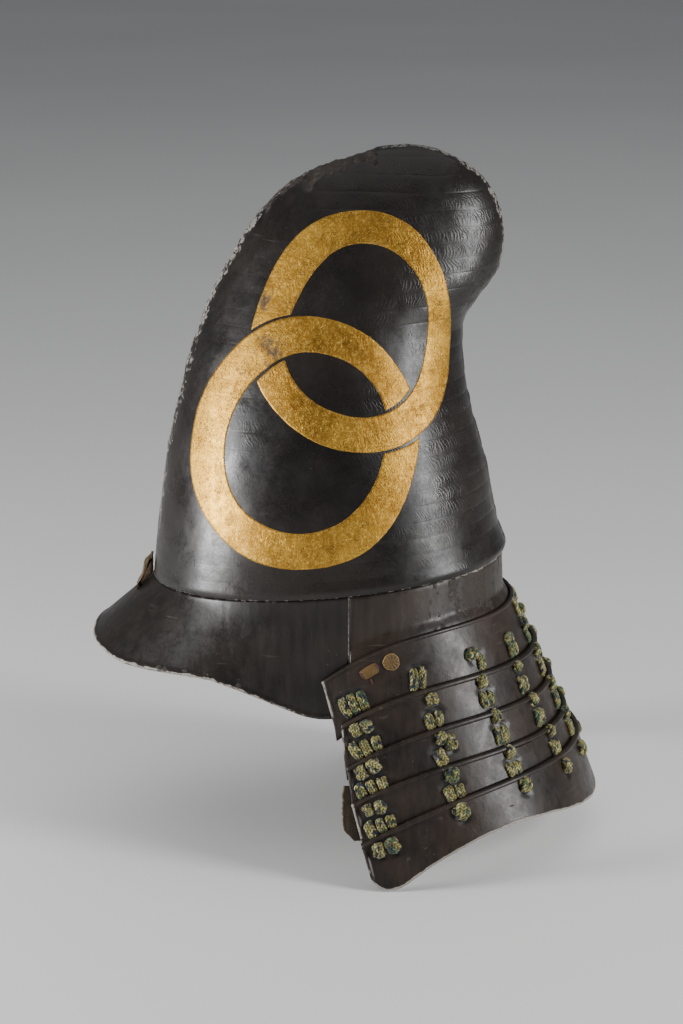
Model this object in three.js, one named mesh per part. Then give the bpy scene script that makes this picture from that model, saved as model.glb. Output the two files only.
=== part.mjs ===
// A kabuto with a tall, sideways-flattened bowl, a flared visor, a base band and a
// neck guard of five laced lames. Millimetres, +Z up, the front of the helmet faces -Y,
// the wearer's left is +X. The origin is the middle of the bowl's lower opening, where
// the helmet sits on the head.
import * as THREE from 'three';

// ---------------------------------------------------------------- driving dimensions
const RIM_TILT = 0.0805;        // slope of the bowl's rim plane: the front lies lower
const TILT_FADE_HEIGHT = 240;   // height at which the sections have become level
const BOWL_WALL = 3;            // bowl wall
const RIM_LAND = 4.6;           // width of the rim's lower face
const GAP = 0.3;                // gap between pieces that touch
const PLATE = 1.8;              // thickness of a lame
const BAND_WALL = 2.4;          // thickness of the base band and the visor
const LIP_OUT = 2.2;            // how far the laces must clear a lip
const LIP_HIGH = 3.4;           // height of a lame's lip
const OVERLAP = 9;              // how far a lame runs down behind the next one
const NEST = PLATE + 0.65;       // how far inside the next lame's face a lame lies
const SEAM_Y = 14;              // where the visor ends and the base band begins
const LACE_HALF_ANGLE = 3.1;    // half the width of a lace column, degrees
const LACE_THICK = 2.2;

const BOWL_AROUND = 44;         // facets round the bowl
const LAME_STEPS = 32;          // facets along a lame
const VISOR_STEPS = 36;

// ---------------------------------------------------------------- tables
// Bowl sections from the rim to the crown. A section is a front half and a back half,
// each a rounded lens: exponent 2 is an ellipse, less is sharper at the ridge.
const BOWL = [
  // h: height, front/back: the ridge lines, half: half width, wide: where it is widest
  { h: 0,     front: -119.0, back: 119.4, half: 98.2, wide: 0,  sharpF: 2.00, sharpB: 2.05 },
  { h: 4,     front: -119.0, back: 120.6, half: 98.8, wide: 0,  sharpF: 2.00, sharpB: 2.05 },
  { h: 10,    front: -118.3, back: 118.6, half: 98.0, wide: 0,  sharpF: 2.00, sharpB: 2.05 },
  { h: 20,    front: -117.2, back: 115.0, half: 97.0, wide: 0,  sharpF: 2.00, sharpB: 2.05 },
  { h: 35,    front: -115.6, back: 112.0, half: 95.6, wide: -1, sharpF: 1.96, sharpB: 2.00 },
  { h: 55,    front: -112.9, back: 108.4, half: 92.8, wide: -2, sharpF: 1.92, sharpB: 2.00 },
  { h: 80,    front: -109.6, back: 102.4, half: 88.0, wide: -3, sharpF: 1.86, sharpB: 1.98 },
  { h: 105,   front: -104.3, back: 95.6,  half: 82.0, wide: -4, sharpF: 1.80, sharpB: 1.95 },
  { h: 130,   front: -98.0,  back: 91.2,  half: 75.0, wide: -3, sharpF: 1.74, sharpB: 1.92 },
  { h: 150,   front: -92.2,  back: 89.9,  half: 69.0, wide: 0,  sharpF: 1.69, sharpB: 1.88 },
  { h: 165,   front: -86.6,  back: 91.2,  half: 64.4, wide: 4,  sharpF: 1.66, sharpB: 1.85 },
  { h: 180,   front: -80.6,  back: 100.8, half: 59.6, wide: 10, sharpF: 1.64, sharpB: 1.82 },
  { h: 195,   front: -73.4,  back: 111.5, half: 54.8, wide: 17, sharpF: 1.62, sharpB: 1.79 },
  { h: 210,   front: -65.0,  back: 115.8, half: 49.8, wide: 24, sharpF: 1.61, sharpB: 1.76 },
  { h: 225,   front: -55.4,  back: 116.4, half: 44.2, wide: 30, sharpF: 1.60, sharpB: 1.73 },
  { h: 240,   front: -44.1,  back: 114.1, half: 38.0, wide: 36, sharpF: 1.62, sharpB: 1.72 },
  { h: 252,   front: -32.4,  back: 108.9, half: 32.2, wide: 40, sharpF: 1.66, sharpB: 1.74 },
  { h: 262,   front: -19.1,  back: 101.4, half: 26.4, wide: 43, sharpF: 1.72, sharpB: 1.78 },
  { h: 270,   front: -2.0,   back: 91.4,  half: 20.6, wide: 46, sharpF: 1.80, sharpB: 1.84 },
  { h: 276,   front: 16.4,   back: 80.0,  half: 15.2, wide: 48, sharpF: 1.88, sharpB: 1.90 },
  { h: 280.2, front: 31.6,   back: 68.4,  half: 9.4,  wide: 50, sharpF: 1.95, sharpB: 1.95 },
  { h: 282.4, front: 50.0,   back: 50.0,  half: 0.0,  wide: 50, sharpF: 2.00, sharpB: 2.00 },
];

// The curved line along the top of each lame, seen from above half an ellipse round the
// back. It lies level behind the head and drops towards the front ends.
const RIDGE = [
  // back: its rearmost y, deep/half: the half axes, level: height behind, drop/power:
  // how it falls, lip: how far the lip stands out, endTop/endLow: y of the lame's front end at its top and bottom edge
  { back: 125.7, deep: 117, half: 103.5, level: -22.6,  drop: 23.0, power: 3.2,  lip: 1.0, endTop: -3.9, endLow: 4.2 },
  { back: 141.0, deep: 123, half: 110,   level: -54.4,  drop: 21.6, power: 3.2,  lip: 2.2, endTop: 8.8,  endLow: 11.0 },
  { back: 151.8, deep: 129, half: 117,   level: -78.9,  drop: 23.3, power: 3.1,  lip: 2.2, endTop: 12.4, endLow: 15.4 },
  { back: 162.0, deep: 135, half: 124,   level: -101.4, drop: 23.6, power: 2.85, lip: 2.2, endTop: 15.4, endLow: 22.0 },
  { back: 171.2, deep: 142, half: 131,   level: -118.9, drop: 33.3, power: 2.35, lip: 2.2, endTop: 21.6, endLow: 28.6 },
];

// The lowest lame's lower edge, by the angle from the middle of the back, in degrees.
const HEM_PLAN = { back: 186.4, deep: 151, half: 139 };
const HEM = [
  { turn: 0,    z: -160.5 },
  { turn: 12,   z: -159.8 },
  { turn: 22,   z: -157.2 },
  { turn: 33,   z: -153.2 },
  { turn: 44,   z: -149.2 },
  { turn: 54,   z: -149.2 },
  { turn: 63,   z: -153.4 },
  { turn: 70.5, z: -160.9 },
  { turn: 77.7, z: -170.4 },
  { turn: 82,   z: -178.4 },
  { turn: 86,   z: -184.8 },
  { turn: 90,   z: -184.6 },
  { turn: 94,   z: -176.0 },
];

// The visor's lower edge, by the angle from the middle of the front, in degrees.
const BRIM_PLAN = { front: 161, half: 103, power: 2.5 };
const BRIM = [
  { turn: 0,   z: -48.2 },
  { turn: 12,  z: -48.4 },
  { turn: 20,  z: -49.8 },
  { turn: 30,  z: -52.6 },
  { turn: 40,  z: -53.2 },
  { turn: 50,  z: -53.7 },
  { turn: 58,  z: -55.2 },
  { turn: 66,  z: -59.6 },
  { turn: 74,  z: -67.0 },
  { turn: 80,  z: -73.8 },
  { turn: 86,  z: -79.4 },
  { turn: 92,  z: -80.0 },
  { turn: 97,  z: -74.0 },
];

// The ten lace columns, by their angle on the first and on the last lame.
const LACES = [
  { name: 'lacing_1',  first: 90,  last: 86 },
  { name: 'lacing_2',  first: 68,  last: 67 },
  { name: 'lacing_3',  first: 48,  last: 47 },
  { name: 'lacing_4',  first: 29,  last: 27 },
  { name: 'lacing_5',  first: 10,  last: 9 },
  { name: 'lacing_6',  first: -10, last: -9 },
  { name: 'lacing_7',  first: -29, last: -27 },
  { name: 'lacing_8',  first: -48, last: -47 },
  { name: 'lacing_9',  first: -68, last: -67 },
  { name: 'lacing_10', first: -90, last: -86 },
];

// ---------------------------------------------------------------- finishes
const finish = {
  lacquer: { color: 0x1a1615, roughness: 0.42, metalness: 0.0 },
  lace:    { color: 0x7f8a4a, roughness: 0.9,  metalness: 0.0 },
  pad:     { color: 0x9c7a3a, roughness: 0.7,  metalness: 0.0 },
  leather: { color: 0x5a4526, roughness: 0.8,  metalness: 0.0 },
  socket:  { color: 0x8a7648, roughness: 0.6,  metalness: 0.0 },
};

// ---------------------------------------------------------------- small helpers
const rad = (d) => (d * Math.PI) / 180;
const clamp = (x, a, b) => Math.min(b, Math.max(a, x));
const mix = (a, b, t) => a + (b - a) * t;
const mixV = (a, b, t) => [mix(a[0], b[0], t), mix(a[1], b[1], t), mix(a[2], b[2], t)];
const add = (a, b, s = 1) => [a[0] + b[0] * s, a[1] + b[1] * s, a[2] + b[2] * s];
const powSign = (x, e) => Math.sign(x) * Math.pow(Math.abs(x), e);

// smooth curve through evenly numbered rows; s runs from 0 to rows - 1
function along(rows, key, s) {
  const n = rows.length - 1;
  const i = clamp(Math.floor(s), 0, n - 1);
  const t = clamp(s - i, 0, 1);
  const p1 = rows[i][key];
  const p2 = rows[i + 1][key];
  const p0 = i > 0 ? rows[i - 1][key] : 2 * p1 - p2;
  const p3 = i < n - 1 ? rows[i + 2][key] : 2 * p2 - p1;
  const m1 = (p2 - p0) / 2;
  const m2 = (p3 - p1) / 2;
  const t2 = t * t;
  const t3 = t2 * t;
  return p1 * (2 * t3 - 3 * t2 + 1) + m1 * (t3 - 2 * t2 + t) + p2 * (3 * t2 - 2 * t3) + m2 * (t3 - t2);
}

// smooth z through a table of angles
function byTurn(rows, turn) {
  const n = rows.length;
  const x = clamp(Math.abs(turn), rows[0].turn, rows[n - 1].turn);
  let i = 0;
  while (i < n - 2 && rows[i + 1].turn < x) i += 1;
  const slope = (j) => {
    if (j === 0) return 0;
    const a = rows[j - 1];
    const b = rows[Math.min(j + 1, n - 1)];
    return (b.z - a.z) / (b.turn - a.turn);
  };
  const w = rows[i + 1].turn - rows[i].turn;
  const t = (x - rows[i].turn) / w;
  const t2 = t * t;
  const t3 = t2 * t;
  return rows[i].z * (2 * t3 - 3 * t2 + 1) + slope(i) * w * (t3 - 2 * t2 + t)
    + rows[i + 1].z * (3 * t2 - 2 * t3) + slope(i + 1) * w * (t3 - t2);
}

function toGeometry(points, faces) {
  let volume = 0;
  for (const [a, b, c] of faces) {
    const [p, q, r] = [points[a], points[b], points[c]];
    volume += p[0] * (q[1] * r[2] - q[2] * r[1]) + p[1] * (q[2] * r[0] - q[0] * r[2])
      + p[2] * (q[0] * r[1] - q[1] * r[0]);
  }
  const index = [];
  for (const [a, b, c] of faces) index.push(...(volume > 0 ? [a, b, c] : [a, c, b]));
  const g = new THREE.BufferGeometry();
  g.setAttribute('position', new THREE.Float32BufferAttribute(points.flat(), 3));
  g.setIndex(index);
  g.computeVertexNormals();
  return g;
}

// a plate from a list of sections, each with as many outer as inner points
function plate(sections) {
  const n = sections[0].outer.length;
  const m = 2 * n;
  const points = [];
  for (const s of sections) points.push(...s.outer, ...s.inner.slice().reverse());
  const faces = [];
  for (let i = 0; i < sections.length - 1; i += 1) {
    for (let j = 0; j < m; j += 1) {
      const k = (j + 1) % m;
      const a = i * m + j;
      const b = i * m + k;
      const c = (i + 1) * m + k;
      const d = (i + 1) * m + j;
      faces.push([a, b, c], [a, c, d]);
    }
  }
  const last = (sections.length - 1) * m;
  for (let j = 0; j < n - 1; j += 1) {
    const [a, b, c, d] = [j, j + 1, m - 2 - j, m - 1 - j];
    faces.push([a, c, b], [a, d, c]);
    faces.push([last + a, last + b, last + c], [last + a, last + c, last + d]);
  }
  return toGeometry(points, faces);
}

const group = new THREE.Group();
function place(name, geometry, look) {
  const mesh = new THREE.Mesh(geometry, new THREE.MeshStandardMaterial(finish[look]));
  mesh.name = name;
  group.add(mesh);
}

// ---------------------------------------------------------------- bowl
function bowlPoint(s, turn, inset) {
  const row = {};
  for (const key of ['h', 'front', 'back', 'half', 'wide', 'sharpF', 'sharpB']) row[key] = along(BOWL, key, s);
  const top = BOWL[BOWL.length - 1].h;
  const cut = Math.min(inset, Math.max(0, (row.back - row.front) / 2 - 0.1), Math.max(0, row.half - 0.05));
  const h = row.h * (1 - inset / top);
  const c = Math.cos(turn);
  const sn = Math.sin(turn);
  const e = c < 0 ? row.sharpF : row.sharpB;
  const reach = c < 0 ? row.wide - row.front - cut : row.back - cut - row.wide;
  const x = Math.max(0, row.half - cut) * powSign(sn, 2 / e);
  const y = row.wide + Math.max(0, reach) * powSign(c, 2 / e);
  const tilt = RIM_TILT * Math.max(0, 1 - h / TILT_FADE_HEIGHT);
  return [x, y, h + tilt * y];
}

function makeBowl() {
  const rows = BOWL.length - 1;
  const points = [];
  const faces = [];
  const ring = (s, inset) => {
    const start = points.length;
    for (let i = 0; i < BOWL_AROUND; i += 1) points.push(bowlPoint(s, (i / BOWL_AROUND) * 2 * Math.PI, inset));
    return start;
  };
  const join = (a, b, flip) => {
    for (let i = 0; i < BOWL_AROUND; i += 1) {
      const j = (i + 1) % BOWL_AROUND;
      const quad = flip ? [[a + i, b + j, a + j], [a + i, b + i, b + j]] : [[a + i, a + j, b + j], [a + i, b + j, b + i]];
      faces.push(...quad);
    }
  };
  const outer = [];
  for (let s = 0; s < rows; s += 1) outer.push(ring(s, 0));
  const crown = points.push(bowlPoint(rows, 0, 0)) - 1;
  const inner = [];
  for (let s = 0; s < rows; s += 1) if (s === 0 || (s > 2 && s % 2 === 1)) inner.push(ring(s, s === 0 ? RIM_LAND : BOWL_WALL));
  const hollow = points.push(bowlPoint(rows, 0, BOWL_WALL)) - 1;
  for (let k = 0; k < outer.length - 1; k += 1) join(outer[k], outer[k + 1], false);
  for (let k = 0; k < inner.length - 1; k += 1) join(inner[k], inner[k + 1], true);
  join(inner[0], outer[0], false);
  for (let i = 0; i < BOWL_AROUND; i += 1) {
    const j = (i + 1) % BOWL_AROUND;
    faces.push([outer[rows - 1] + i, outer[rows - 1] + j, crown]);
    faces.push([inner[inner.length - 1] + j, inner[inner.length - 1] + i, hollow]);
  }
  return toGeometry(points, faces);
}

// ---------------------------------------------------------------- lines round the head
// outward direction of an ellipse with half axes half (x) and deep (y)
function outward(x, y, half, deep) {
  const nx = x / (half * half);
  const ny = y / (deep * deep);
  const l = Math.hypot(nx, ny);
  return [nx / l, ny / l, 0];
}

// a point on the top line of lame k, at an angle from the middle of the back
function ridgePoint(k, turn) {
  const r = RIDGE[k];
  const c = Math.cos(rad(turn));
  const s = Math.sin(rad(turn));
  const z = r.level - r.drop * Math.pow(1 - c, r.power);
  return { p: [r.half * s, r.back - r.deep + r.deep * c, z], n: outward(r.half * s, r.deep * c, r.half, r.deep) };
}

function hemPoint(turn) {
  const c = Math.cos(rad(turn));
  const s = Math.sin(rad(turn));
  const r = HEM_PLAN;
  return { p: [r.half * s, r.back - r.deep + r.deep * c, byTurn(HEM, turn)], n: outward(r.half * s, r.deep * c, r.half, r.deep) };
}

const turnOfY = (plan, y) => (Math.acos(clamp((y - (plan.back - plan.deep)) / plan.deep, -1, 1)) * 180) / Math.PI;

// the face of lame k at an angle: from its own line down to the next line or the hem
function lameFace(k, turn) {
  const top = ridgePoint(k, turn);
  const low = k === RIDGE.length - 1 ? hemPoint(turn) : ridgePoint(k + 1, turn);
  return { top, low };
}

// outer face of lame k, at a fraction of the way down, or d millimetres down
function lamePoint(k, turn, v) {
  const { top, low } = lameFace(k, turn);
  const tuck = k === RIDGE.length - 1 ? 0 : NEST;
  return mixV(top.p, add(low.p, low.n, -tuck), v);
}

// ---------------------------------------------------------------- lames
function makeLame(k) {
  const last = k === RIDGE.length - 1;
  const r = RIDGE[k];
  const endTop = turnOfY(r, r.endTop);
  const nextPlan = last ? HEM_PLAN : RIDGE[k + 1];
  const endLow = turnOfY(nextPlan, r.endLow);
  const sections = [];
  // where the sections stand; the last millimetres carry the raised front edge
  const stops = [];
  for (let i = 0; i <= LAME_STEPS; i += 1) stops.push(-1 + (2 * i) / LAME_STEPS);
  for (const edge of [-0.972, 0.972]) stops.push(edge);
  stops.sort((a, b) => a - b);
  for (const u of stops) {
    const rim = Math.abs(u) > 0.965 ? 1 : 0;
    const outer = [];
    const inner = [];
    const row = (v, out, back = PLATE) => {
      const turn = u * mix(endTop, endLow, clamp(v, 0, 1));
      const { top } = lameFace(k, turn);
      const base = lamePoint(k, turn, v);
      const edge = rim * r.lip * 0.55 * clamp((0.9 - v) / 0.4, 0, 1);
      outer.push(add(base, top.n, Math.max(out, edge)));
      inner.push(add(base, top.n, -back));
    };
    const { top, low } = lameFace(k, u * endTop);
    const height = Math.hypot(top.p[0] - low.p[0], top.p[1] - low.p[1], top.p[2] - low.p[2]);
    const lip = (k === 0 ? 0.55 : 1) * (LIP_HIGH / height);
    row(0, r.lip * 0.7);
    row(lip * 0.4, r.lip);
    row(lip, r.lip * 0.6);
    row(lip * 1.3, 0);
    if (last) {
      row(0.5, 0);
      row(1, 0);
    } else {
      // down to the next line, then on behind the next lame, parallel to it
      row(0.5, 0);
      row(0.97, 0);
      const turn = u * endLow;
      const next = lameFace(k + 1, turn);
      const span = Math.hypot(next.low.p[0] - next.top.p[0], next.low.p[1] - next.top.p[1], next.low.p[2] - next.top.p[2]);
      const foot = add(mixV(next.top.p, next.low.p, OVERLAP / span), next.top.n, -NEST - (k + 1 === RIDGE.length - 1 ? 0 : NEST * (OVERLAP / span)));
      outer.push(foot);
      inner.push(add(foot, next.top.n, -PLATE));
    }
    sections.push({ outer, inner });
  }
  return plate(sections);
}

// ---------------------------------------------------------------- base band
function makeBand() {
  const plan = { back: 118.4, deep: 118.4, half: 97.9 };
  const sections = [];
  const endTop = turnOfY(plan, SEAM_Y + 1.3 * GAP);
  const endLow = turnOfY(RIDGE[0], SEAM_Y + 1.3 * GAP);
  const steps = LAME_STEPS;
  for (let i = 0; i <= steps; i += 1) {
    const u = -1 + (2 * i) / steps;
    const a = rad(u * endTop);
    const x = plan.half * Math.sin(a);
    const y = plan.deep * Math.cos(a);
    const n = outward(x, y, plan.half, plan.deep);
    const top = [x, y, RIM_TILT * y - GAP];
    const { p, n: ln } = ridgePoint(0, u * endLow);
    const outerLow = add(p, ln, -NEST);
    const foot = add(add(mixV(ridgePoint(0, u * endLow).p, ridgePoint(1, u * endLow).p, 0.3), ln, -NEST - 0.5), [0, 0, 0]);
    const shoulder = [mix(top[0], outerLow[0], 0.25), mix(top[1], outerLow[1], 0.18), mix(top[2], outerLow[2], 0.8)];
    const outer = [top, shoulder, outerLow, foot];
    const innerTop = add(top, n, -BAND_WALL);
    innerTop[2] = RIM_TILT * innerTop[1] - GAP;
    const inner = [innerTop, add(shoulder, n, -BAND_WALL), add(outerLow, ln, -BAND_WALL), add(foot, ln, -BAND_WALL)];
    sections.push({ outer, inner });
  }
  return plate(sections);
}

// ---------------------------------------------------------------- visor
function visorPoint(u, v) {
  // u runs from -1 to 1 round the front, v from the rim down to the lower edge
  const a = mix(118.6, BRIM_PLAN.front, Math.pow(v, 1.3));
  const endTurn = 90 + (Math.asin(SEAM_Y / a) * 180) / Math.PI;
  const turn = u * endTurn;
  const c = Math.cos(rad(turn));
  const s = Math.sin(rad(turn));
  const p = BRIM_PLAN.power;
  const top = [97.8 * s, -118.6 * c, -118.6 * c * RIM_TILT - GAP];
  const lowX = BRIM_PLAN.half * Math.sign(s) * Math.pow(1 - Math.pow(Math.abs(c), p), 1 / p);
  const low = [lowX, -BRIM_PLAN.front * c, byTurn(BRIM, turn)];
  const q = mix(1.5, 1.02, clamp(c, 0, 1));
  const w = Math.pow(v, q);
  return [mix(top[0], low[0], w), mix(top[1], low[1], w), mix(top[2], low[2], v)];
}

function makeVisor() {
  const rows = 6;
  const sections = [];
  for (let i = 0; i <= VISOR_STEPS; i += 1) {
    const u = -1 + (2 * i) / VISOR_STEPS;
    const outer = [];
    const inner = [];
    for (let j = 0; j <= rows; j += 1) {
      const v = j / rows;
      const p = visorPoint(u, v);
      const d = 0.01;
      const up = visorPoint(u, Math.max(0, v - d));
      const dn = visorPoint(u, Math.min(1, v + d));
      const lf = visorPoint(clamp(u - d, -1, 1), v);
      const rt = visorPoint(clamp(u + d, -1, 1), v);
      const a = new THREE.Vector3(dn[0] - up[0], dn[1] - up[1], dn[2] - up[2]);
      const b = new THREE.Vector3(rt[0] - lf[0], rt[1] - lf[1], rt[2] - lf[2]);
      const n = a.cross(b).normalize();
      if (n.x * p[0] + n.y * p[1] < 0) n.negate();
      if (j === 0) n.set(n.x, n.y, 0).normalize();
      outer.push(p);
      inner.push([p[0] - n.x * BAND_WALL, p[1] - n.y * BAND_WALL, p[2] - n.z * BAND_WALL]);
    }
    sections.push({ outer, inner });
  }
  return plate(sections);
}

// ---------------------------------------------------------------- lacing
// a column of laces runs down the faces of the lames and over their lips
function makeLace(column) {
  const sides = [-LACE_HALF_ANGLE, 0, LACE_HALF_ANGLE].map((off) => {
    const inner = [];
    const outer = [];
    const put = (p, n, lift) => {
      inner.push(add(p, n, lift));
      outer.push(add(p, n, lift + LACE_THICK));
    };
    const turnAt = (k) => mix(column.first, column.last, k / 3) + off;
    const reach = (k, turn) => {
      const { top, low } = lameFace(k, turn);
      return Math.hypot(top.p[0] - low.p[0], top.p[1] - low.p[1], top.p[2] - low.p[2]);
    };
    // bars on the first lame, above the first line
    const t0 = turnAt(0);
    put(lamePoint(0, t0, 1 - 15 / reach(0, t0)), ridgePoint(1, t0).n, 0.8);
    for (let k = 1; k < RIDGE.length; k += 1) {
      const t = turnAt(k - 1);
      const { p, n } = ridgePoint(k, t);
      put(add(p, [0, 0, 1.4]), n, LIP_OUT + 0.6);
      put(lamePoint(k, t, (LIP_HIGH + 1) / reach(k, t)), n, LIP_OUT + 0.6);
    }
    const t4 = turnAt(3);
    put(lamePoint(4, t4, 15 / reach(4, t4)), ridgePoint(4, t4).n, 1.5);
    return { outer, inner };
  });
  return plate(sides);
}

// ---------------------------------------------------------------- trim on the first lame
// a disc or rounded bar lying on the face of the first lame; side is +1 or -1
function makePad(side, y, v, long, high, lift) {
  const r = RIDGE[0];
  const turn = side * turnOfY({ back: mix(r.back, RIDGE[1].back, v), deep: mix(r.deep, RIDGE[1].deep, v) }, y);
  const at = lamePoint(0, turn, v);
  const n = new THREE.Vector3(...lameFace(0, turn).top.n);
  const ahead = lamePoint(0, turn + 2 * side, v);
  const t = new THREE.Vector3(ahead[0] - at[0], ahead[1] - at[1], ahead[2] - at[2]).normalize();
  const down = lamePoint(0, turn, v + 0.1);
  const d = new THREE.Vector3(down[0] - at[0], down[1] - at[1], down[2] - at[2]);
  const face = t.clone().cross(d).normalize();
  if (face.dot(n) < 0) face.negate();
  const up = face.clone().cross(t).normalize();
  const shape = new THREE.Shape();
  const rr = high / 2;
  const half = long / 2 - rr;
  const steps = 12;
  for (let i = 0; i <= steps; i += 1) {
    const a = -Math.PI / 2 + (Math.PI * i) / steps;
    const q = [half + rr * Math.cos(a), rr * Math.sin(a)];
    if (i === 0) shape.moveTo(...q); else shape.lineTo(...q);
  }
  for (let i = half > 0.01 ? 0 : 1; i < (half > 0.01 ? steps + 1 : steps); i += 1) {
    const a = Math.PI / 2 + (Math.PI * i) / steps;
    shape.lineTo(-half + rr * Math.cos(a), rr * Math.sin(a));
  }
  const g = new THREE.ExtrudeGeometry(shape, { depth: 1.6, bevelEnabled: false });
  g.applyMatrix4(new THREE.Matrix4().makeBasis(t, up, face));
  g.translate(at[0] + face.x * lift, at[1] + face.y * lift, at[2] + face.z * lift);
  return g;
}

// a strip of leather that stands behind the front ends of the lower lames
function makeLeather(side) {
  const rows = [
    // z, how far out, front and rear y
    { z: -122, x: 116.2, front: 10.0, rear: 31 },
    { z: -134, x: 117.6, front: 9.0,  rear: 32 },
    { z: -151, x: 120.4, front: 10.0, rear: 34 },
    { z: -158, x: 121.8, front: 17.0, rear: 35 },
  ];
  const thick = 2;
  const sections = rows.map((r) => ({
    outer: [[side * r.x, r.front, r.z], [side * r.x, r.rear, r.z]],
    inner: [[side * (r.x - thick), r.front, r.z], [side * (r.x - thick), r.rear, r.z]],
  }));
  return plate(sections);
}

// a small holder that stands on the visor against the middle of the bowl's front
function makeSocket() {
  const outline = [
    [-119.8, 4.2], [-122.5, 1.4], [-125.9, -1.8], [-126.6, -6.0], [-127.8, -11.2], [-130.6, -16.0], [-131.6, -20.9], [-119.8, -9.4],
  ];
  const shape = new THREE.Shape(outline.map(([y, z]) => new THREE.Vector2(y, z)));
  const width = 12;
  const g = new THREE.ExtrudeGeometry(shape, { depth: width, bevelEnabled: false });
  g.applyMatrix4(new THREE.Matrix4().makeBasis(
    new THREE.Vector3(0, 1, 0), new THREE.Vector3(0, 0, 1), new THREE.Vector3(1, 0, 0)));
  g.translate(-width / 2, 0, 0);
  return g;
}

// ---------------------------------------------------------------- assembly
place('bowl', makeBowl(), 'lacquer');
place('visor', makeVisor(), 'lacquer');
place('base_band', makeBand(), 'lacquer');
RIDGE.forEach((_, k) => place(`neck_lame_${k + 1}`, makeLame(k), 'lacquer'));
for (const column of LACES) place(column.name, makeLace(column), 'lace');
for (const [side, word] of [[1, 'left'], [-1, 'right']]) {
  place(`bar_pad_${word}`, makePad(side, 27.3, 0.31, 13.4, 7.6, 0.5), 'pad');
  place(`round_pad_${word}`, makePad(side, 41.2, 0.305, 10.8, 10.8, 0.5), 'pad');
  place(`leather_strip_${word}`, makeLeather(side), 'leather');
}
place('crest_socket', makeSocket(), 'socket');

export default group;
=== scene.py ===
"""Looks of a kabuto with a tall flattened bowl, a flared visor and a laced neck guard."""
import bpy
import math
import numpy as np
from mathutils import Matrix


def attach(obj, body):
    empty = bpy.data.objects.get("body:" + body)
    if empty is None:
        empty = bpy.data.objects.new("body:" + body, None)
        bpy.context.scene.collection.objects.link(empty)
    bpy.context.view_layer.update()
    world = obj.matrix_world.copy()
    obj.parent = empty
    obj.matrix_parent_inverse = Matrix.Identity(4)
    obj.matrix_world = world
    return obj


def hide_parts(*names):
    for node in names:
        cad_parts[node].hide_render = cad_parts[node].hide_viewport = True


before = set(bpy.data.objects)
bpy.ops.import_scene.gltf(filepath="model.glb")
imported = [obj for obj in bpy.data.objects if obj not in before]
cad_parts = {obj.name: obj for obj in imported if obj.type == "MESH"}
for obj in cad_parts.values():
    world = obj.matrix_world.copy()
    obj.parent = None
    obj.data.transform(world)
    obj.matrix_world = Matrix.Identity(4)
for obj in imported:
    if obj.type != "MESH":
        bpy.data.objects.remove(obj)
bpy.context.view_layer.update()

# ------------------------------------------------------------------ dimensions (mm)
RIM_TILT = 0.0805        # slope of the bowl's rim plane: the front lies lower
TILT_FADE = 240.0        # height at which the sections have become level
BOWL_WALL = 3.0
RIM_LAND = 4.6           # width of the rim's lower face
GAP = 0.3
PLATE = 1.8              # thickness of a lame
BAND_WALL = 2.4
LIP_HIGH = 3.4           # height of a lame's lip
OVERLAP = 9.0            # how far a lame runs down behind the next one
NEST = PLATE + 0.65
SEAM_Y = 14.0            # where the visor ends and the base band begins
LOWEST = -185.3          # height of the lowest lame's lower edge

# bowl sections: height, front, back, half width, widest y, exponent in front, exponent behind
BOWL = np.array([
    [0, -119.0, 119.4, 98.2, 0, 2.00, 2.05],
    [4, -119.0, 120.6, 98.8, 0, 2.00, 2.05],
    [10, -118.3, 118.6, 98.0, 0, 2.00, 2.05],
    [20, -117.2, 115.0, 97.0, 0, 2.00, 2.05],
    [35, -115.6, 112.0, 95.6, -1, 1.96, 2.00],
    [55, -112.9, 108.4, 92.8, -2, 1.92, 2.00],
    [80, -109.6, 102.4, 88.0, -3, 1.86, 1.98],
    [105, -104.3, 95.6, 82.0, -4, 1.80, 1.95],
    [130, -98.0, 91.2, 75.0, -3, 1.74, 1.92],
    [150, -92.2, 89.9, 69.0, 0, 1.69, 1.88],
    [165, -86.6, 91.2, 64.4, 4, 1.66, 1.85],
    [180, -80.6, 100.8, 59.6, 10, 1.64, 1.82],
    [195, -73.4, 111.5, 54.8, 17, 1.62, 1.79],
    [210, -65.0, 115.8, 49.8, 24, 1.61, 1.76],
    [225, -55.4, 116.4, 44.2, 30, 1.60, 1.73],
    [240, -44.1, 114.1, 38.0, 36, 1.62, 1.72],
    [252, -32.4, 108.9, 32.2, 40, 1.66, 1.74],
    [262, -19.1, 101.4, 26.4, 43, 1.72, 1.78],
    [270, -2.0, 91.4, 20.6, 46, 1.80, 1.84],
    [276, 16.4, 80.0, 15.2, 48, 1.88, 1.90],
    [280.2, 31.6, 68.4, 9.4, 50, 1.95, 1.95],
    [282.4, 50.0, 50.0, 0.0, 50, 2.00, 2.00],
])
# top line of each lame: back, deep, half, level, drop, power, lip, end y at the top and below
RIDGE = [
    (125.7, 117, 103.5, -22.6, 23.0, 3.2, 1.0, -3.9, 4.2),
    (141.0, 123, 110, -54.4, 21.6, 3.2, 2.2, 8.8, 11.0),
    (151.8, 129, 117, -78.9, 23.3, 3.1, 2.2, 12.4, 15.4),
    (162.0, 135, 124, -101.4, 23.6, 2.85, 2.2, 15.4, 22.0),
    (171.2, 142, 131, -118.9, 33.3, 2.35, 2.2, 21.6, 28.6),
]
HEM_BACK, HEM_DEEP, HEM_HALF = 186.4, 151.0, 139.0
HEM = np.array([[0, -160.5], [12, -159.8], [22, -157.2], [33, -153.2], [44, -149.2], [54, -149.2], [63, -153.4],
                [70.5, -160.9], [77.7, -170.4], [82, -178.4], [86, -184.8], [90, -184.6], [94, -176.0]])
BRIM_FRONT, BRIM_HALF, BRIM_POWER = 161.0, 103.0, 2.5
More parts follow.
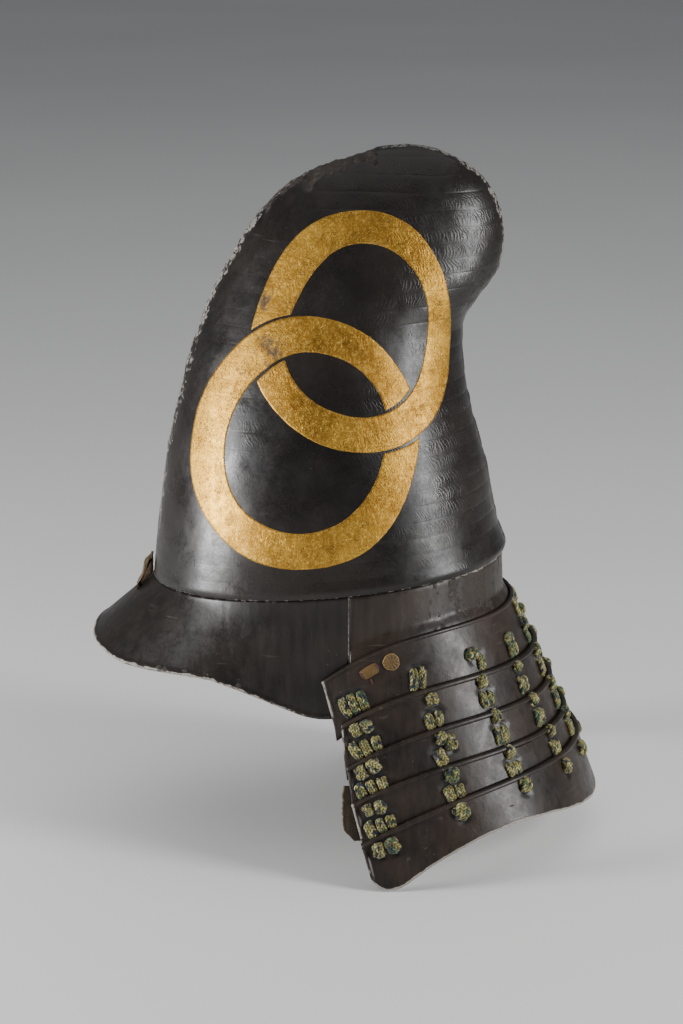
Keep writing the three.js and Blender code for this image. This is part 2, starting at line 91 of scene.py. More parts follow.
BRIM = np.array([[0, -48.2], [12, -48.4], [20, -49.8], [30, -52.6], [40, -53.2], [50, -53.7], [58, -55.2], [66, -59.6],
                 [74, -67.0], [80, -73.8], [86, -79.4], [92, -80.0], [97, -74.0]])


# ------------------------------------------------------------------ surfaces
def along(tab, s):
    """Smooth curve through the rows of a table; s from 0 to rows - 1."""
    n = len(tab) - 1
    s = np.asarray(s, float)
    i = np.clip(np.floor(s).astype(int), 0, n - 1)
    t = np.clip(s - i, 0, 1)[..., None]
    p1, p2 = tab[i], tab[i + 1]
    p0 = np.where((i > 0)[..., None], tab[np.maximum(i - 1, 0)], 2 * p1 - p2)
    p3 = np.where((i < n - 1)[..., None], tab[np.minimum(i + 2, n)], 2 * p2 - p1)
    m1, m2 = (p2 - p0) / 2, (p3 - p1) / 2
    t2, t3 = t * t, t * t * t
    return p1 * (2 * t3 - 3 * t2 + 1) + m1 * (t3 - 2 * t2 + t) + p2 * (3 * t2 - 2 * t3) + m2 * (t3 - t2)


def by_turn(tab, turn):
    """Smooth z through a table of angles."""
    x = np.clip(np.abs(turn), tab[0, 0], tab[-1, 0])
    n = len(tab)
    i = np.clip(np.searchsorted(tab[:, 0], x, side="right") - 1, 0, n - 2)
    slope = np.zeros(n)
    for j in range(1, n):
        a, b = tab[j - 1], tab[min(j + 1, n - 1)]
        slope[j] = (b[1] - a[1]) / (b[0] - a[0])
    w = tab[i + 1, 0] - tab[i, 0]
    t = (x - tab[i, 0]) / w
    t2, t3 = t * t, t * t * t
    return (tab[i, 1] * (2 * t3 - 3 * t2 + 1) + slope[i] * w * (t3 - 2 * t2 + t)
            + tab[i + 1, 1] * (3 * t2 - 2 * t3) + slope[i + 1] * w * (t3 - t2))


def spow(x, e):
    return np.sign(x) * np.abs(x) ** e


def bowl_point(s, turn, inset=0.0):
    """A point of the bowl: s runs up the table's rows, turn is 0 behind and pi in front."""
    r = along(BOWL, s)
    h0, front, back, half, wide, sf, sb = (r[..., k] for k in range(7))
    cut = np.minimum(inset, np.minimum(np.maximum(0, (back - front) / 2 - 0.1), np.maximum(0, half - 0.05)))
    h = h0 * (1 - inset / BOWL[-1, 0])
    c, sn = np.cos(turn), np.sin(turn)
    e = np.where(c < 0, sf, sb)
    reach = np.where(c < 0, wide - front - cut, back - cut - wide)
    x = np.maximum(0, half - cut) * spow(sn, 2 / e)
    y = wide + np.maximum(0, reach) * spow(c, 2 / e)
    return np.stack([x, y, h + RIM_TILT * np.maximum(0, 1 - h / TILT_FADE) * y], -1)


_ARC_S = np.linspace(0, len(BOWL) - 1, 150)
_ARC_T = np.linspace(0, math.pi, 361)
_grid = bowl_point(*np.meshgrid(_ARC_S, _ARC_T, indexing="ij"))
_ARC = np.concatenate([np.zeros((150, 1)), np.cumsum(np.linalg.norm(np.diff(_grid, axis=1), axis=-1), axis=1)], axis=1)


def bowl_arc(s, turn):
    """Distance along a section from the back line to a turn, the same on both sides (mm)."""
    t = np.minimum(np.mod(turn, 2 * math.pi), 2 * math.pi - np.mod(turn, 2 * math.pi))
    a = np.clip(s / _ARC_S[-1] * 149, 0, 148.999)
    b = np.clip(t / math.pi * 360, 0, 359.999)
    i, j = np.floor(a).astype(int), np.floor(b).astype(int)
    fa, fb = a - i, b - j
    return ((_ARC[i, j] * (1 - fb) + _ARC[i, j + 1] * fb) * (1 - fa)
            + (_ARC[i + 1, j] * (1 - fb) + _ARC[i + 1, j + 1] * fb) * fa)


def bowl_side(y, z):
    """The bowl's x at a place seen from the side (mm), and the row there."""
    y, z = np.asarray(y, float), np.asarray(z, float)
    h = z.copy()
    for _ in range(12):
        h = z - RIM_TILT * np.maximum(0, 1 - h / TILT_FADE) * y
    ss = np.linspace(0, len(BOWL) - 1, 4001)
    hs = along(BOWL, ss)[:, 0]
    s = np.interp(h, hs, ss)
    r = along(BOWL, s)
    front, back, half, wide, sf, sb = (r[..., k] for k in range(1, 7))
    d = y - wide
    e = np.where(d < 0, sf, sb)
    reach = np.where(d < 0, wide - front, back - wide)
    c = np.clip(np.abs(d) / np.maximum(reach, 1e-6), 0, 1) ** (e / 2)
    return half * np.sqrt(np.maximum(0, 1 - c * c)) ** (2 / e), s


def outward(x, y, half, deep):
    nx, ny = x / (half * half), y / (deep * deep)
    l = np.hypot(nx, ny)
    return np.stack([nx / l, ny / l, np.zeros_like(nx)], -1)


def ridge_point(k, turn):
    back, deep, half, level, drop, power = RIDGE[k][:6]
    a = np.radians(turn)
    c, s = np.cos(a), np.sin(a)
    p = np.stack([half * s, back - deep + deep * c, level - drop * (1 - c) ** power], -1)
    return p, outward(half * s, deep * c, half, deep)


def hem_point(turn):
    a = np.radians(turn)
    c, s = np.cos(a), np.sin(a)
    p = np.stack([HEM_HALF * s, HEM_BACK - HEM_DEEP + HEM_DEEP * c, by_turn(HEM, turn)], -1)
    return p, outward(HEM_HALF * s, HEM_DEEP * c, HEM_HALF, HEM_DEEP)


def lame_face(k, turn):
    top = ridge_point(k, turn)
    low = hem_point(turn) if k == 4 else ridge_point(k + 1, turn)
    return top, low


def lame_point(k, turn, v):
    (tp, tn), (lp, ln) = lame_face(k, turn)
    tuck = 0.0 if k == 4 else NEST
    v = np.asarray(v, float)[..., None]
    return tp + (lp - ln * tuck - tp) * v


def turn_of_y(back, deep, y):
    return np.degrees(np.arccos(np.clip((y - (back - deep)) / deep, -1, 1)))


def visor_point(u, v):
    a = 118.6 + (BRIM_FRONT - 118.6) * v ** 1.3
    end = 90 + np.degrees(np.arcsin(SEAM_Y / a))
    turn = u * end
    c, s = np.cos(np.radians(turn)), np.sin(np.radians(turn))
    p = BRIM_POWER
    top = np.stack([97.8 * s, -118.6 * c, -118.6 * c * RIM_TILT - GAP], -1)
    lx = BRIM_HALF * np.sign(s) * (1 - np.abs(c) ** p) ** (1 / p)
    low = np.stack([lx, -BRIM_FRONT * c, by_turn(BRIM, turn)], -1)
    q = 1.5 + (1.02 - 1.5) * np.clip(c, 0, 1)
    w = v ** q
    out = top + (low - top) * w[..., None]
    out[..., 2] = top[..., 2] + (low[..., 2] - top[..., 2]) * v
    return out
# ---- end of surfaces


# ------------------------------------------------------------------ noise
def _hash(ix, iy, iz, seed):
    n = (ix * 73856093) ^ (iy * 19349663) ^ (iz * 83492791) ^ (seed * 97531 + 1013)
    n = (n ^ (n >> 13)) * 1274126177
    n = (n ^ (n >> 16)) * 668265263
    n = n ^ (n >> 15)
    return (n & 0xFFFF) / 32767.5 - 1.0


def noise(p, size, seed=0):
    """Smooth noise from -1 to 1 with features of about `size` mm; size may be three numbers."""
    q = p / np.asarray(size, float) + seed * 7.31
    i = np.floor(q).astype(np.int64)
    f = q - i
    f = f * f * f * (f * (f * 6 - 15) + 10)
    x, y, z = i[..., 0], i[..., 1], i[..., 2]
    fx, fy, fz = f[..., 0], f[..., 1], f[..., 2]
    r = 0.0
    for dx in (0, 1):
        for dy in (0, 1):
            for dz in (0, 1):
                w = (fx if dx else 1 - fx) * (fy if dy else 1 - fy) * (fz if dz else 1 - fz)
                r = r + w * _hash(x + dx, y + dy, z + dz, seed)
    return r


def fbm(p, size, seed=0, octaves=3):
    size = np.asarray(size, float)
    r, a, t = 0.0, 1.0, 0.0
    for k in range(octaves):
        r = r + a * noise(p, size / 2 ** k, seed + 11 * k)
        t += a
        a *= 0.5
    return r / t


def step(a, b, x):
    """Smooth step from 0 at a to 1 at b."""
    t = np.clip((x - a) / (b - a), 0, 1)
    return t * t * (3 - 2 * t)


# ------------------------------------------------------------------ mesh helpers
def unit(v):
    return v / np.maximum(np.linalg.norm(v, axis=-1, keepdims=True), 1e-9)


def make_object(name, points, faces, material, attrs=None, replaces=(), smooth=True):
    points = np.asarray(points, float)
    a, b, c = points[faces[:, 0]], points[faces[:, 1]], points[faces[:, 2]]
    d = points[faces[:, -1]]
    volume = (np.cross(a, b) * c).sum() + (np.cross(a, c) * d).sum()
    if volume < 0:
        faces = faces[:, ::-1]
    mesh = bpy.data.meshes.new(name)
    rows = faces.tolist()
    if faces.shape[1] == 4:
        rows = [[q[0]] + [q[k] for k in (1, 2, 3) if q[k] != q[k - 1]] for q in rows]
        rows = [q[:-1] if q[0] == q[-1] else q for q in rows]
    mesh.from_pydata((points * 0.001).tolist(), [], rows)
    for key, values in (attrs or {}).items():
        values = np.asarray(values, float)
        if values.ndim == 2:
            layer = mesh.attributes.new(key, "FLOAT_COLOR", "POINT")
            rgba = np.ones((len(points), 4))
            rgba[:, :3] = values
            layer.data.foreach_set("color", rgba.ravel().astype(np.float32))
        else:
            layer = mesh.attributes.new(key, "FLOAT", "POINT")
            layer.data.foreach_set("value", values.astype(np.float32))
    mesh.polygons.foreach_set("use_smooth", [smooth] * len(mesh.polygons))
    mesh.materials.append(material)
    mesh.validate()
    mesh.update()
    obj = bpy.data.objects.new(name, mesh)
    bpy.context.scene.collection.objects.link(obj)
    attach(obj, "root")
    if replaces:
        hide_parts(*replaces)
    return obj


def loft(outer, inner, attrs_outer=None, cap_attr=None):
    """A closed plate from sections: outer and inner are (sections, points, 3)."""
    s, n, _ = outer.shape
    loop = np.concatenate([outer, inner[:, ::-1]], axis=1)
    m = 2 * n
    points = loop.reshape(-1, 3)
    i = np.arange(s - 1)[:, None]
    j = np.arange(m)[None, :]
    k = (j + 1) % m
    faces = np.stack([i * m + j, i * m + k, (i + 1) * m + k, (i + 1) * m + j], -1).reshape(-1, 4)
    j = np.arange(n - 1)
    cap = np.stack([j, m - 1 - j, m - 2 - j, j + 1], -1)
    last = (s - 1) * m
    faces = np.concatenate([faces, cap, last + cap[:, ::-1]])
    attrs = {}
    for key, value in (attrs_outer or {}).items():
        inside = np.zeros((s, n)) if cap_attr is None else np.full((s, n), cap_attr.get(key, 0.0))
        attrs[key] = np.concatenate([value, inside[:, ::-1]], axis=1).ravel()
    return points, faces, attrs


def grid_normals(p, around=False):
    """Normals of a grid of points (rows, columns, 3)."""
    du = (np.roll(p, -1, 1) - np.roll(p, 1, 1)) if around else np.gradient(p, axis=1)
    dv = np.gradient(p, axis=0)
    return unit(np.cross(du, dv))


# ------------------------------------------------------------------ shader helpers
class Shade:
    """A small wrapper that makes node materials short to write."""

    def __init__(self, name):
        self.m = bpy.data.materials.new(name)
        self.m.use_nodes = True
        self.t = self.m.node_tree
        self.t.nodes.clear()
        self.out = self.t.nodes.new("ShaderNodeOutputMaterial")
        self.b = self.t.nodes.new("ShaderNodeBsdfPrincipled")
        self.t.links.new(self.b.outputs[0], self.out.inputs[0])
        self.coord = self.t.nodes.new("ShaderNodeTexCoord").outputs["Object"]

    def put(self, socket, value):
        if isinstance(value, bpy.types.NodeSocket):
            self.t.links.new(value, socket)
        elif isinstance(value, tuple) and len(value) == 3 and socket.type == "RGBA":
            socket.default_value = (*value, 1.0)
        else:
            socket.default_value = value

    def set(self, **values):
        for key, value in values.items():
            self.put(self.b.inputs[key.replace("_", " ")], value)

    def scaled(self, x, y, z, turn=(0, 0, 0)):
        n = self.t.nodes.new("ShaderNodeMapping")
        n.inputs["Scale"].default_value = (x, y, z)
        n.inputs["Rotation"].default_value = tuple(math.radians(a) for a in turn)
        self.t.links.new(self.coord, n.inputs["Vector"])
        return n.outputs[0]

    def noise(self, scale, detail=4.0, rough=0.55, vec=None, distort=0.0):
        n = self.t.nodes.new("ShaderNodeTexNoise")
        self.put(n.inputs["Vector"], vec or self.coord)
        n.inputs["Scale"].default_value = scale
        n.inputs["Detail"].default_value = detail
        n.inputs["Roughness"].default_value = rough
        n.inputs["Distortion"].default_value = distort
        return n.outputs["Fac"]

    def wave(self, scale, vec=None, distort=3.0, detail=2.0, dscale=1.0, kind="BANDS", axis="Z"):
        n = self.t.nodes.new("ShaderNodeTexWave")
        n.wave_type = kind
        if kind == "BANDS":
            n.bands_direction = axis
        self.put(n.inputs["Vector"], vec or self.coord)
        n.inputs["Scale"].default_value = scale
        n.inputs["Distortion"].default_value = distort
        n.inputs["Detail"].default_value = detail
        n.inputs["Detail Scale"].default_value = dscale
        return n.outputs["Fac"]

    def cells(self, scale, vec=None, feature="F1", randomness=1.0):
        n = self.t.nodes.new("ShaderNodeTexVoronoi")
        n.feature = feature
        self.put(n.inputs["Vector"], vec or self.coord)
        n.inputs["Scale"].default_value = scale
        n.inputs["Randomness"].default_value = randomness
        return n.outputs["Distance"]

    def attr(self, name):
        n = self.t.nodes.new("ShaderNodeAttribute")
        n.attribute_name = name
        return n.outputs["Fac"]

    def attr_color(self, name):
        n = self.t.nodes.new("ShaderNodeAttribute")
        n.attribute_name = name
        return n.outputs["Color"]

    def fit(self, value, a, b, lo=0.0, hi=1.0, smooth=False):
        n = self.t.nodes.new("ShaderNodeMapRange")
        n.interpolation_type = "SMOOTHSTEP" if smooth else "LINEAR"
        self.put(n.inputs["Value"], value)
        n.inputs["From Min"].default_value = a
        n.inputs["From Max"].default_value = b
        n.inputs["To Min"].default_value = lo
        n.inputs["To Max"].default_value = hi
        return n.outputs["Result"]

    def math(self, op, a, b=0.0, clamp=False):
        n = self.t.nodes.new("ShaderNodeMath")
        n.operation = op
        n.use_clamp = clamp
        self.put(n.inputs[0], a)
        self.put(n.inputs[1], b)
        return n.outputs[0]

    def mix(self, fac, a, b, blend="MIX"):
        n = self.t.nodes.new("ShaderNodeMix")
        n.data_type = "RGBA"
        n.blend_type = blend
        self.put(n.inputs[0], fac)
        self.put(n.inputs[6], a if isinstance(a, bpy.types.NodeSocket) else (*a, 1.0))
        self.put(n.inputs[7], b if isinstance(b, bpy.types.NodeSocket) else (*b, 1.0))
        return n.outputs[2]

    def bands(self):
        """Relief of the bowl's bands: slanting wrinkles inside each and a groove between them."""
        band, run = self.attr("band"), self.attr("run")
        f = self.math("FRACT", band)
        white = self.t.nodes.new("ShaderNodeTexWhiteNoise")
        white.noise_dimensions = "1D"
        self.put(white.inputs["W"], self.math("FLOOR", band))
        groove = self.fit(self.math("MINIMUM", f, self.math("SUBTRACT", 1.0, f)), 0.0, 0.085, 1.0, 0.0, True)
        groove = self.math("MULTIPLY", groove, self.fit(self.noise(34, 3, 0.5), 0.36, 0.52))
        arch = self.math("MULTIPLY", self.math("MULTIPLY", f, self.math("SUBTRACT", 1.0, f)), 4.0)
        phase = self.math("ADD", run, self.math("MULTIPLY", white.outputs["Value"], 9.0))
        phase = self.math("ADD", phase, self.math("MULTIPLY", f, 1.9))
        phase = self.math("ADD", phase, self.math("MULTIPLY", self.math("MULTIPLY", f, f), -2.6))
        phase = self.math("ADD", phase, self.math("MULTIPLY", self.noise(88, 4, 0.6), 5.2))
        stroke = self.fit(self.math("SINE", self.math("MULTIPLY", phase, 6.2832)), -1.0, 1.0, 0.0, 1.0)
        stroke = self.math("POWER", stroke, 1.6)
        patch = self.math("MULTIPLY", self.fit(self.noise(30, 4, 0.55), 0.42, 0.62), self.attr("marked"))
        groove = self.math("MULTIPLY", groove, self.attr("marked"))
        relief = self.math("MULTIPLY", self.math("MULTIPLY", stroke, arch), patch)
        return self.math("SUBTRACT", relief, self.math("MULTIPLY", groove, 0.55)), groove, stroke, patch

    def bump(self, height, strength, distance, under=None):
        n = self.t.nodes.new("ShaderNodeBump")
        n.inputs["Strength"].default_value = strength
        n.inputs["Distance"].default_value = distance
        self.t.links.new(height, n.inputs["Height"])
        if under is not None:
            self.t.links.new(under, n.inputs["Normal"])
        return n.outputs[0]


def lacquer_material(name, dark, brown, worn, rough=(0.26, 0.46), creases=True, streaks=False, scale=1.0, ragged=0.6):
    """Old black-brown lacquer: tone drifts, fine creases or streaks, worn edges that show the ground, on some edges
    also paler as painted highlights.
    """
    s = Shade(name)
    drift = s.fit(s.noise(16 * scale, 5, 0.6), 0.38, 0.66)
    color = s.mix(drift, dark, brown)
    fine = s.noise(420, 3, 0.6)
    if streaks:
        lines = s.noise(1.0, 4, 0.6, s.scaled(260, 260, 14))
        color = s.mix(s.fit(lines, 0.42, 0.68, 0.0, 0.55), color, tuple(c * 1.35 for c in brown))
    # sparse pale specks of dust and small scratches
    specks = s.fit(s.cells(190), 0.0, 0.10, 1.0, 0.0)
    specks = s.math("MULTIPLY", specks, s.fit(s.noise(34, 2, 0.5), 0.52, 0.66))
    color = s.mix(s.math("MULTIPLY", specks, 0.5), color, worn)
    scratch = s.fit(s.noise(1.0, 2, 0.5, s.scaled(24, 24, 700, (18, 0, 0))), 0.66, 0.72)
    scratch = s.math("MULTIPLY", scratch, s.fit(s.noise(22, 2, 0.5), 0.55, 0.68))
    color = s.mix(s.math("MULTIPLY", scratch, 0.18), color, worn)
    # worn edges, broken up by noise; on some edges this pale colour is partly a painted highlight
    wear_and_highlight = s.attr("wear_and_highlight")
    broken = s.fit(s.math("ADD", wear_and_highlight, s.fit(s.noise(330, 4, 0.65), 0.2, 0.8, -ragged, ragged)), 0.55 - 0.3 * ragged, 1.0 - 0.45 * ragged, smooth=True)
    broken = s.math("MULTIPLY", broken, s.fit(wear_and_highlight, 0.04, 0.22))
    color = s.mix(broken, color, worn)
    chip = s.attr("chip")
    chipped = s.fit(s.math("ADD", chip, s.fit(s.noise(260, 4, 0.6), 0.2, 0.8, -0.35, 0.35)), 0.4, 0.62, smooth=True)
    ground = s.mix(s.noise(300, 4, 0.6), (0.010, 0.0075, 0.0062), (0.046, 0.035, 0.028))
    color = s.mix(chipped, color, ground)
    # painted shade: near black round the lace holes on the lames
    color = s.mix(s.attr("hole_shade_and_red_mark"), color, (0.004, 0.004, 0.004))
    r = s.fit(s.noise(46 * scale, 5, 0.62), 0.32, 0.70, rough[0], rough[1])
    r = s.math("ADD", r, s.fit(fine, 0.3, 0.7, -0.04, 0.05))
    r = s.math("ADD", r, s.math("MULTIPLY", broken, 0.12))
    r = s.math("ADD", r, s.math("MULTIPLY", chipped, 0.34), True)
    s.set(Base_Color=color, Roughness=r, Specular_IOR_Level=0.36, IOR=1.5)
    grain = s.bump(fine, 0.22, 0.00012)
    orange = s.bump(s.noise(120, 3, 0.55), 0.20, 0.0005, grain)
    last = orange
    if creases:
        relief, groove, _, _ = s.bands()
        last = s.bump(relief, 0.40, 0.00027, orange)
        ripple = s.noise(1.0, 3, 0.6, s.scaled(70, 70, 210))
        last = s.bump(ripple, 0.20, 0.00035, last)
    if streaks:
        last = s.bump(s.noise(1.0, 4, 0.6, s.scaled(300, 300, 30)), 0.12, 0.0004, last)
        curl = s.noise(190, 3, 0.5, None, 2.0)
        last = s.bump(s.math("MULTIPLY", curl, s.fit(s.noise(26, 3, 0.5), 0.42, 0.60)), 0.22, 0.0004, last)
    rough_ground = s.math("MULTIPLY", s.math("MAXIMUM", broken, chipped), s.noise(520, 4, 0.7))
    last = s.bump(rough_ground, 0.55, 0.0008, last)
    s.put(s.b.inputs["Normal"], last)
    return s.m


def gold_material(name, bands=True, much=0.0):
    """Old gold leaf over lacquer: fine curved marks, black specks, rubbed patches."""
    s = Shade(name)
    drift = s.fit(s.noise(24, 5, 0.62), 0.36, 0.66)
    color = s.mix(drift, (0.33, 0.158, 0.018), (0.56, 0.310, 0.042))
    fine = s.noise(300, 4, 0.65)
    color = s.mix(s.fit(fine, 0.45, 0.70, 0.0, 0.60), color, (0.82, 0.52, 0.105))
    color = s.mix(s.fit(s.noise(110, 4, 0.6), 0.30, 0.46, 0.55, 0.0), color, (0.20, 0.090, 0.014))
    # curly marks left by the wrinkled ground
    curl = s.noise(330, 3, 0.55, None, 2.6)
    thin = s.fit(s.math("ABSOLUTE", s.math("SUBTRACT", curl, 0.5)), 0.010, 0.070, 1.0, 0.0)
    other = s.noise(1.0, 3, 0.55, s.scaled(380, 520, 250, (40, 0, 0)), 1.6)
    thick = s.fit(other, 0.56, 0.68)
    marks = s.math("MULTIPLY", s.math("MAXIMUM", thin, s.math("MULTIPLY", thick, 0.9)), s.fit(s.noise(75, 4, 0.6), 0.30, 0.56))
    hatch = s.math("ADD", s.math("MULTIPLY", curl, 0.8), s.math("MULTIPLY", s.math("SUBTRACT", 1.0, thick), 0.5))
    height = hatch
    if bands:
        relief, groove, stroke, patch = s.bands()
        lines = s.math("MULTIPLY", s.fit(stroke, 0.0, 0.22, 1.0, 0.0), patch)
        marks = s.math("MAXIMUM", marks, s.math("MULTIPLY", lines, 0.45))
        marks = s.math("MAXIMUM", marks, s.math("MULTIPLY", groove, 0.5))
    color = s.mix(s.math("MULTIPLY", marks, 0.80), color, (0.080, 0.036, 0.007))
    specks = s.fit(s.cells(360), 0.0, 0.22, 1.0, 0.0)
    specks = s.math("MULTIPLY", specks, s.fit(s.noise(85, 3, 0.6), 0.46, 0.58))
    rubbed = s.fit(s.math("ADD", s.noise(28, 5, 0.7), s.fit(s.noise(380, 4, 0.7), 0.2, 0.8, -0.13, 0.13)), 0.66, 0.76)
    rubbed = s.math("MULTIPLY", rubbed, 0.65)
    worn = s.math("ADD", s.math("ADD", s.attr("wear_and_highlight"), much), s.fit(s.noise(330, 4, 0.7), 0.25, 0.75, -0.40, 0.40))
    worn = s.fit(worn, 0.30, 0.66, 0.0, 0.92)
    dark = s.math("MAXIMUM", s.math("MAXIMUM", s.math("MULTIPLY", specks, 0.8), rubbed), worn, True)
    color = s.mix(dark, color, (0.040, 0.024, 0.012))
    s.set(Base_Color=color, IOR=1.5)
    s.put(s.b.inputs["Metallic"], s.fit(dark, 0.0, 1.0, 0.88, 0.05))
    s.put(s.b.inputs["Roughness"], s.math("ADD", s.fit(s.noise(150, 4, 0.6), 0.3, 0.7, 0.40, 0.54), s.math("MULTIPLY", dark, 0.15)))
    n = s.bump(fine, 0.36, 0.00026)
    n = s.bump(height, 0.50, 0.00036, n)
    if bands:
        n = s.bump(relief, 0.40, 0.00024, n)
    n = s.bump(s.math("SUBTRACT", 1.0, dark), 0.5, 0.00016, n)
    s.put(s.b.inputs["Normal"], n)
    return s.m


def lace_material(name):
    """Flat braided silk lace: the stitches carry their colour with painted shade in the gaps between them, with fine
    threads over them.
    """
    s = Shade(name)
    tint_and_shade = s.attr_color("tint_and_shade")
    fibre = s.noise(1500, 3, 0.6)
    color = s.mix(s.fit(fibre, 0.3, 0.7, 0.0, 0.6), tint_and_shade, s.mix(1.0, tint_and_shade, (0.42, 0.43, 0.36), "MULTIPLY"))
    dust = s.fit(s.noise(260, 3, 0.6), 0.52, 0.7, 0.0, 0.38)
    color = s.mix(dust, color, (0.27, 0.25, 0.135))
    s.set(Base_Color=color, Roughness=0.82, Specular_IOR_Level=0.25, Sheen_Weight=0.18, Sheen_Roughness=0.5)
    n = s.bump(fibre, 0.5, 0.0003)
    s.put(s.b.inputs["Normal"], n)
    return s.m


def hide_material(name, base, pale, dark, edge, stipple):
    """Tanned hide with pores or a stippled print and a paler or darker edge."""
    s = Shade(name)
    color = s.mix(s.fit(s.noise(90, 5, 0.6), 0.35, 0.68), base, pale)
    pores = s.fit(s.cells(stipple), 0.05, 0.42, 1.0, 0.0)
    pores = s.math("MULTIPLY", pores, s.fit(s.noise(240, 3, 0.6), 0.36, 0.6))
    color = s.mix(s.math("MULTIPLY", pores, 0.75), color, dark)
    stain = s.fit(s.noise(45, 4, 0.65), 0.54, 0.74)
    color = s.mix(s.math("MULTIPLY", stain, 0.6), color, dark)
    wear_and_highlight = s.attr("wear_and_highlight")
    rim = s.fit(s.math("ADD", wear_and_highlight, s.fit(s.noise(300, 3, 0.6), 0.2, 0.8, -0.25, 0.25)), 0.4, 0.7)
    color = s.mix(rim, color, edge)
    color = s.mix(s.attr("hole_shade_and_red_mark"), color, (0.045, 0.012, 0.010))
    s.set(Base_Color=color, Specular_IOR_Level=0.35)
    s.put(s.b.inputs["Roughness"], s.fit(s.noise(120, 4, 0.6), 0.3, 0.7, 0.52, 0.76))
    n = s.bump(s.noise(700, 4, 0.6), 0.4, 0.00025)
    n = s.bump(s.math("SUBTRACT", 1.0, pores), 0.5, 0.0004, n)
    s.put(s.b.inputs["Normal"], n)
    return s.m


BOWL_MAT = lacquer_material("bowl_lacquer", (0.0066, 0.0055, 0.0050), (0.0155, 0.0118, 0.0100), (0.205, 0.188, 0.170), rough=(0.23, 0.42), ragged=0.95)
VISOR_MAT = lacquer_material("visor_lacquer", (0.0062, 0.0052, 0.0048), (0.0150, 0.0112, 0.0092), (0.24, 0.215, 0.19), (0.28, 0.46), False, True, 1.3, 0.5)
GUARD_MAT = lacquer_material("guard_lacquer", (0.0086, 0.0064, 0.0052), (0.0250, 0.0160, 0.0112), (0.25, 0.222, 0.195), (0.30, 0.46), False, True, 1.6, 0.25)
GOLD_MAT = gold_material("gold_leaf")
LACE_MAT = lace_material("braided_lace")
PAD_MAT = hide_material("stippled_leather", (0.084, 0.048, 0.012), (0.138, 0.084, 0.024), (0.038, 0.020, 0.006), (0.24, 0.155, 0.055), 900)
LEATHER_MAT = hide_material("backing_leather", (0.017, 0.011, 0.005), (0.034, 0.022, 0.009), (0.008, 0.005, 0.003), (0.070, 0.046, 0.017), 620)


# ------------------------------------------------------------------ bowl
BAND = 10.6              # height of the bands that the bowl's covering was laid in
STROKE = 2.5             # spacing of the slanting wrinkles in a band


def bowl_marks(s, turn, p):
    """Band number (a fraction inside it) and the count of wrinkles along a section."""
    rise = along(BOWL, s)[..., 0] + 1.5 * noise(p, (60, 60, 70), 5) + 0.45 * noise(p, (17, 17, 40), 6)
    run = bowl_arc(s, turn) + 1.2 * noise(p, 24, 7)
    return rise / BAND, run / STROKE


def bowl_marked(p):
    """How strongly the bands show: more towards the back, and less near the lower edge."""
    y, z = p[..., 1], p[..., 2]
    return (0.30 + 0.70 * step(-40, 55, y)) * (0.45 + 0.55 * step(15, 70, z))


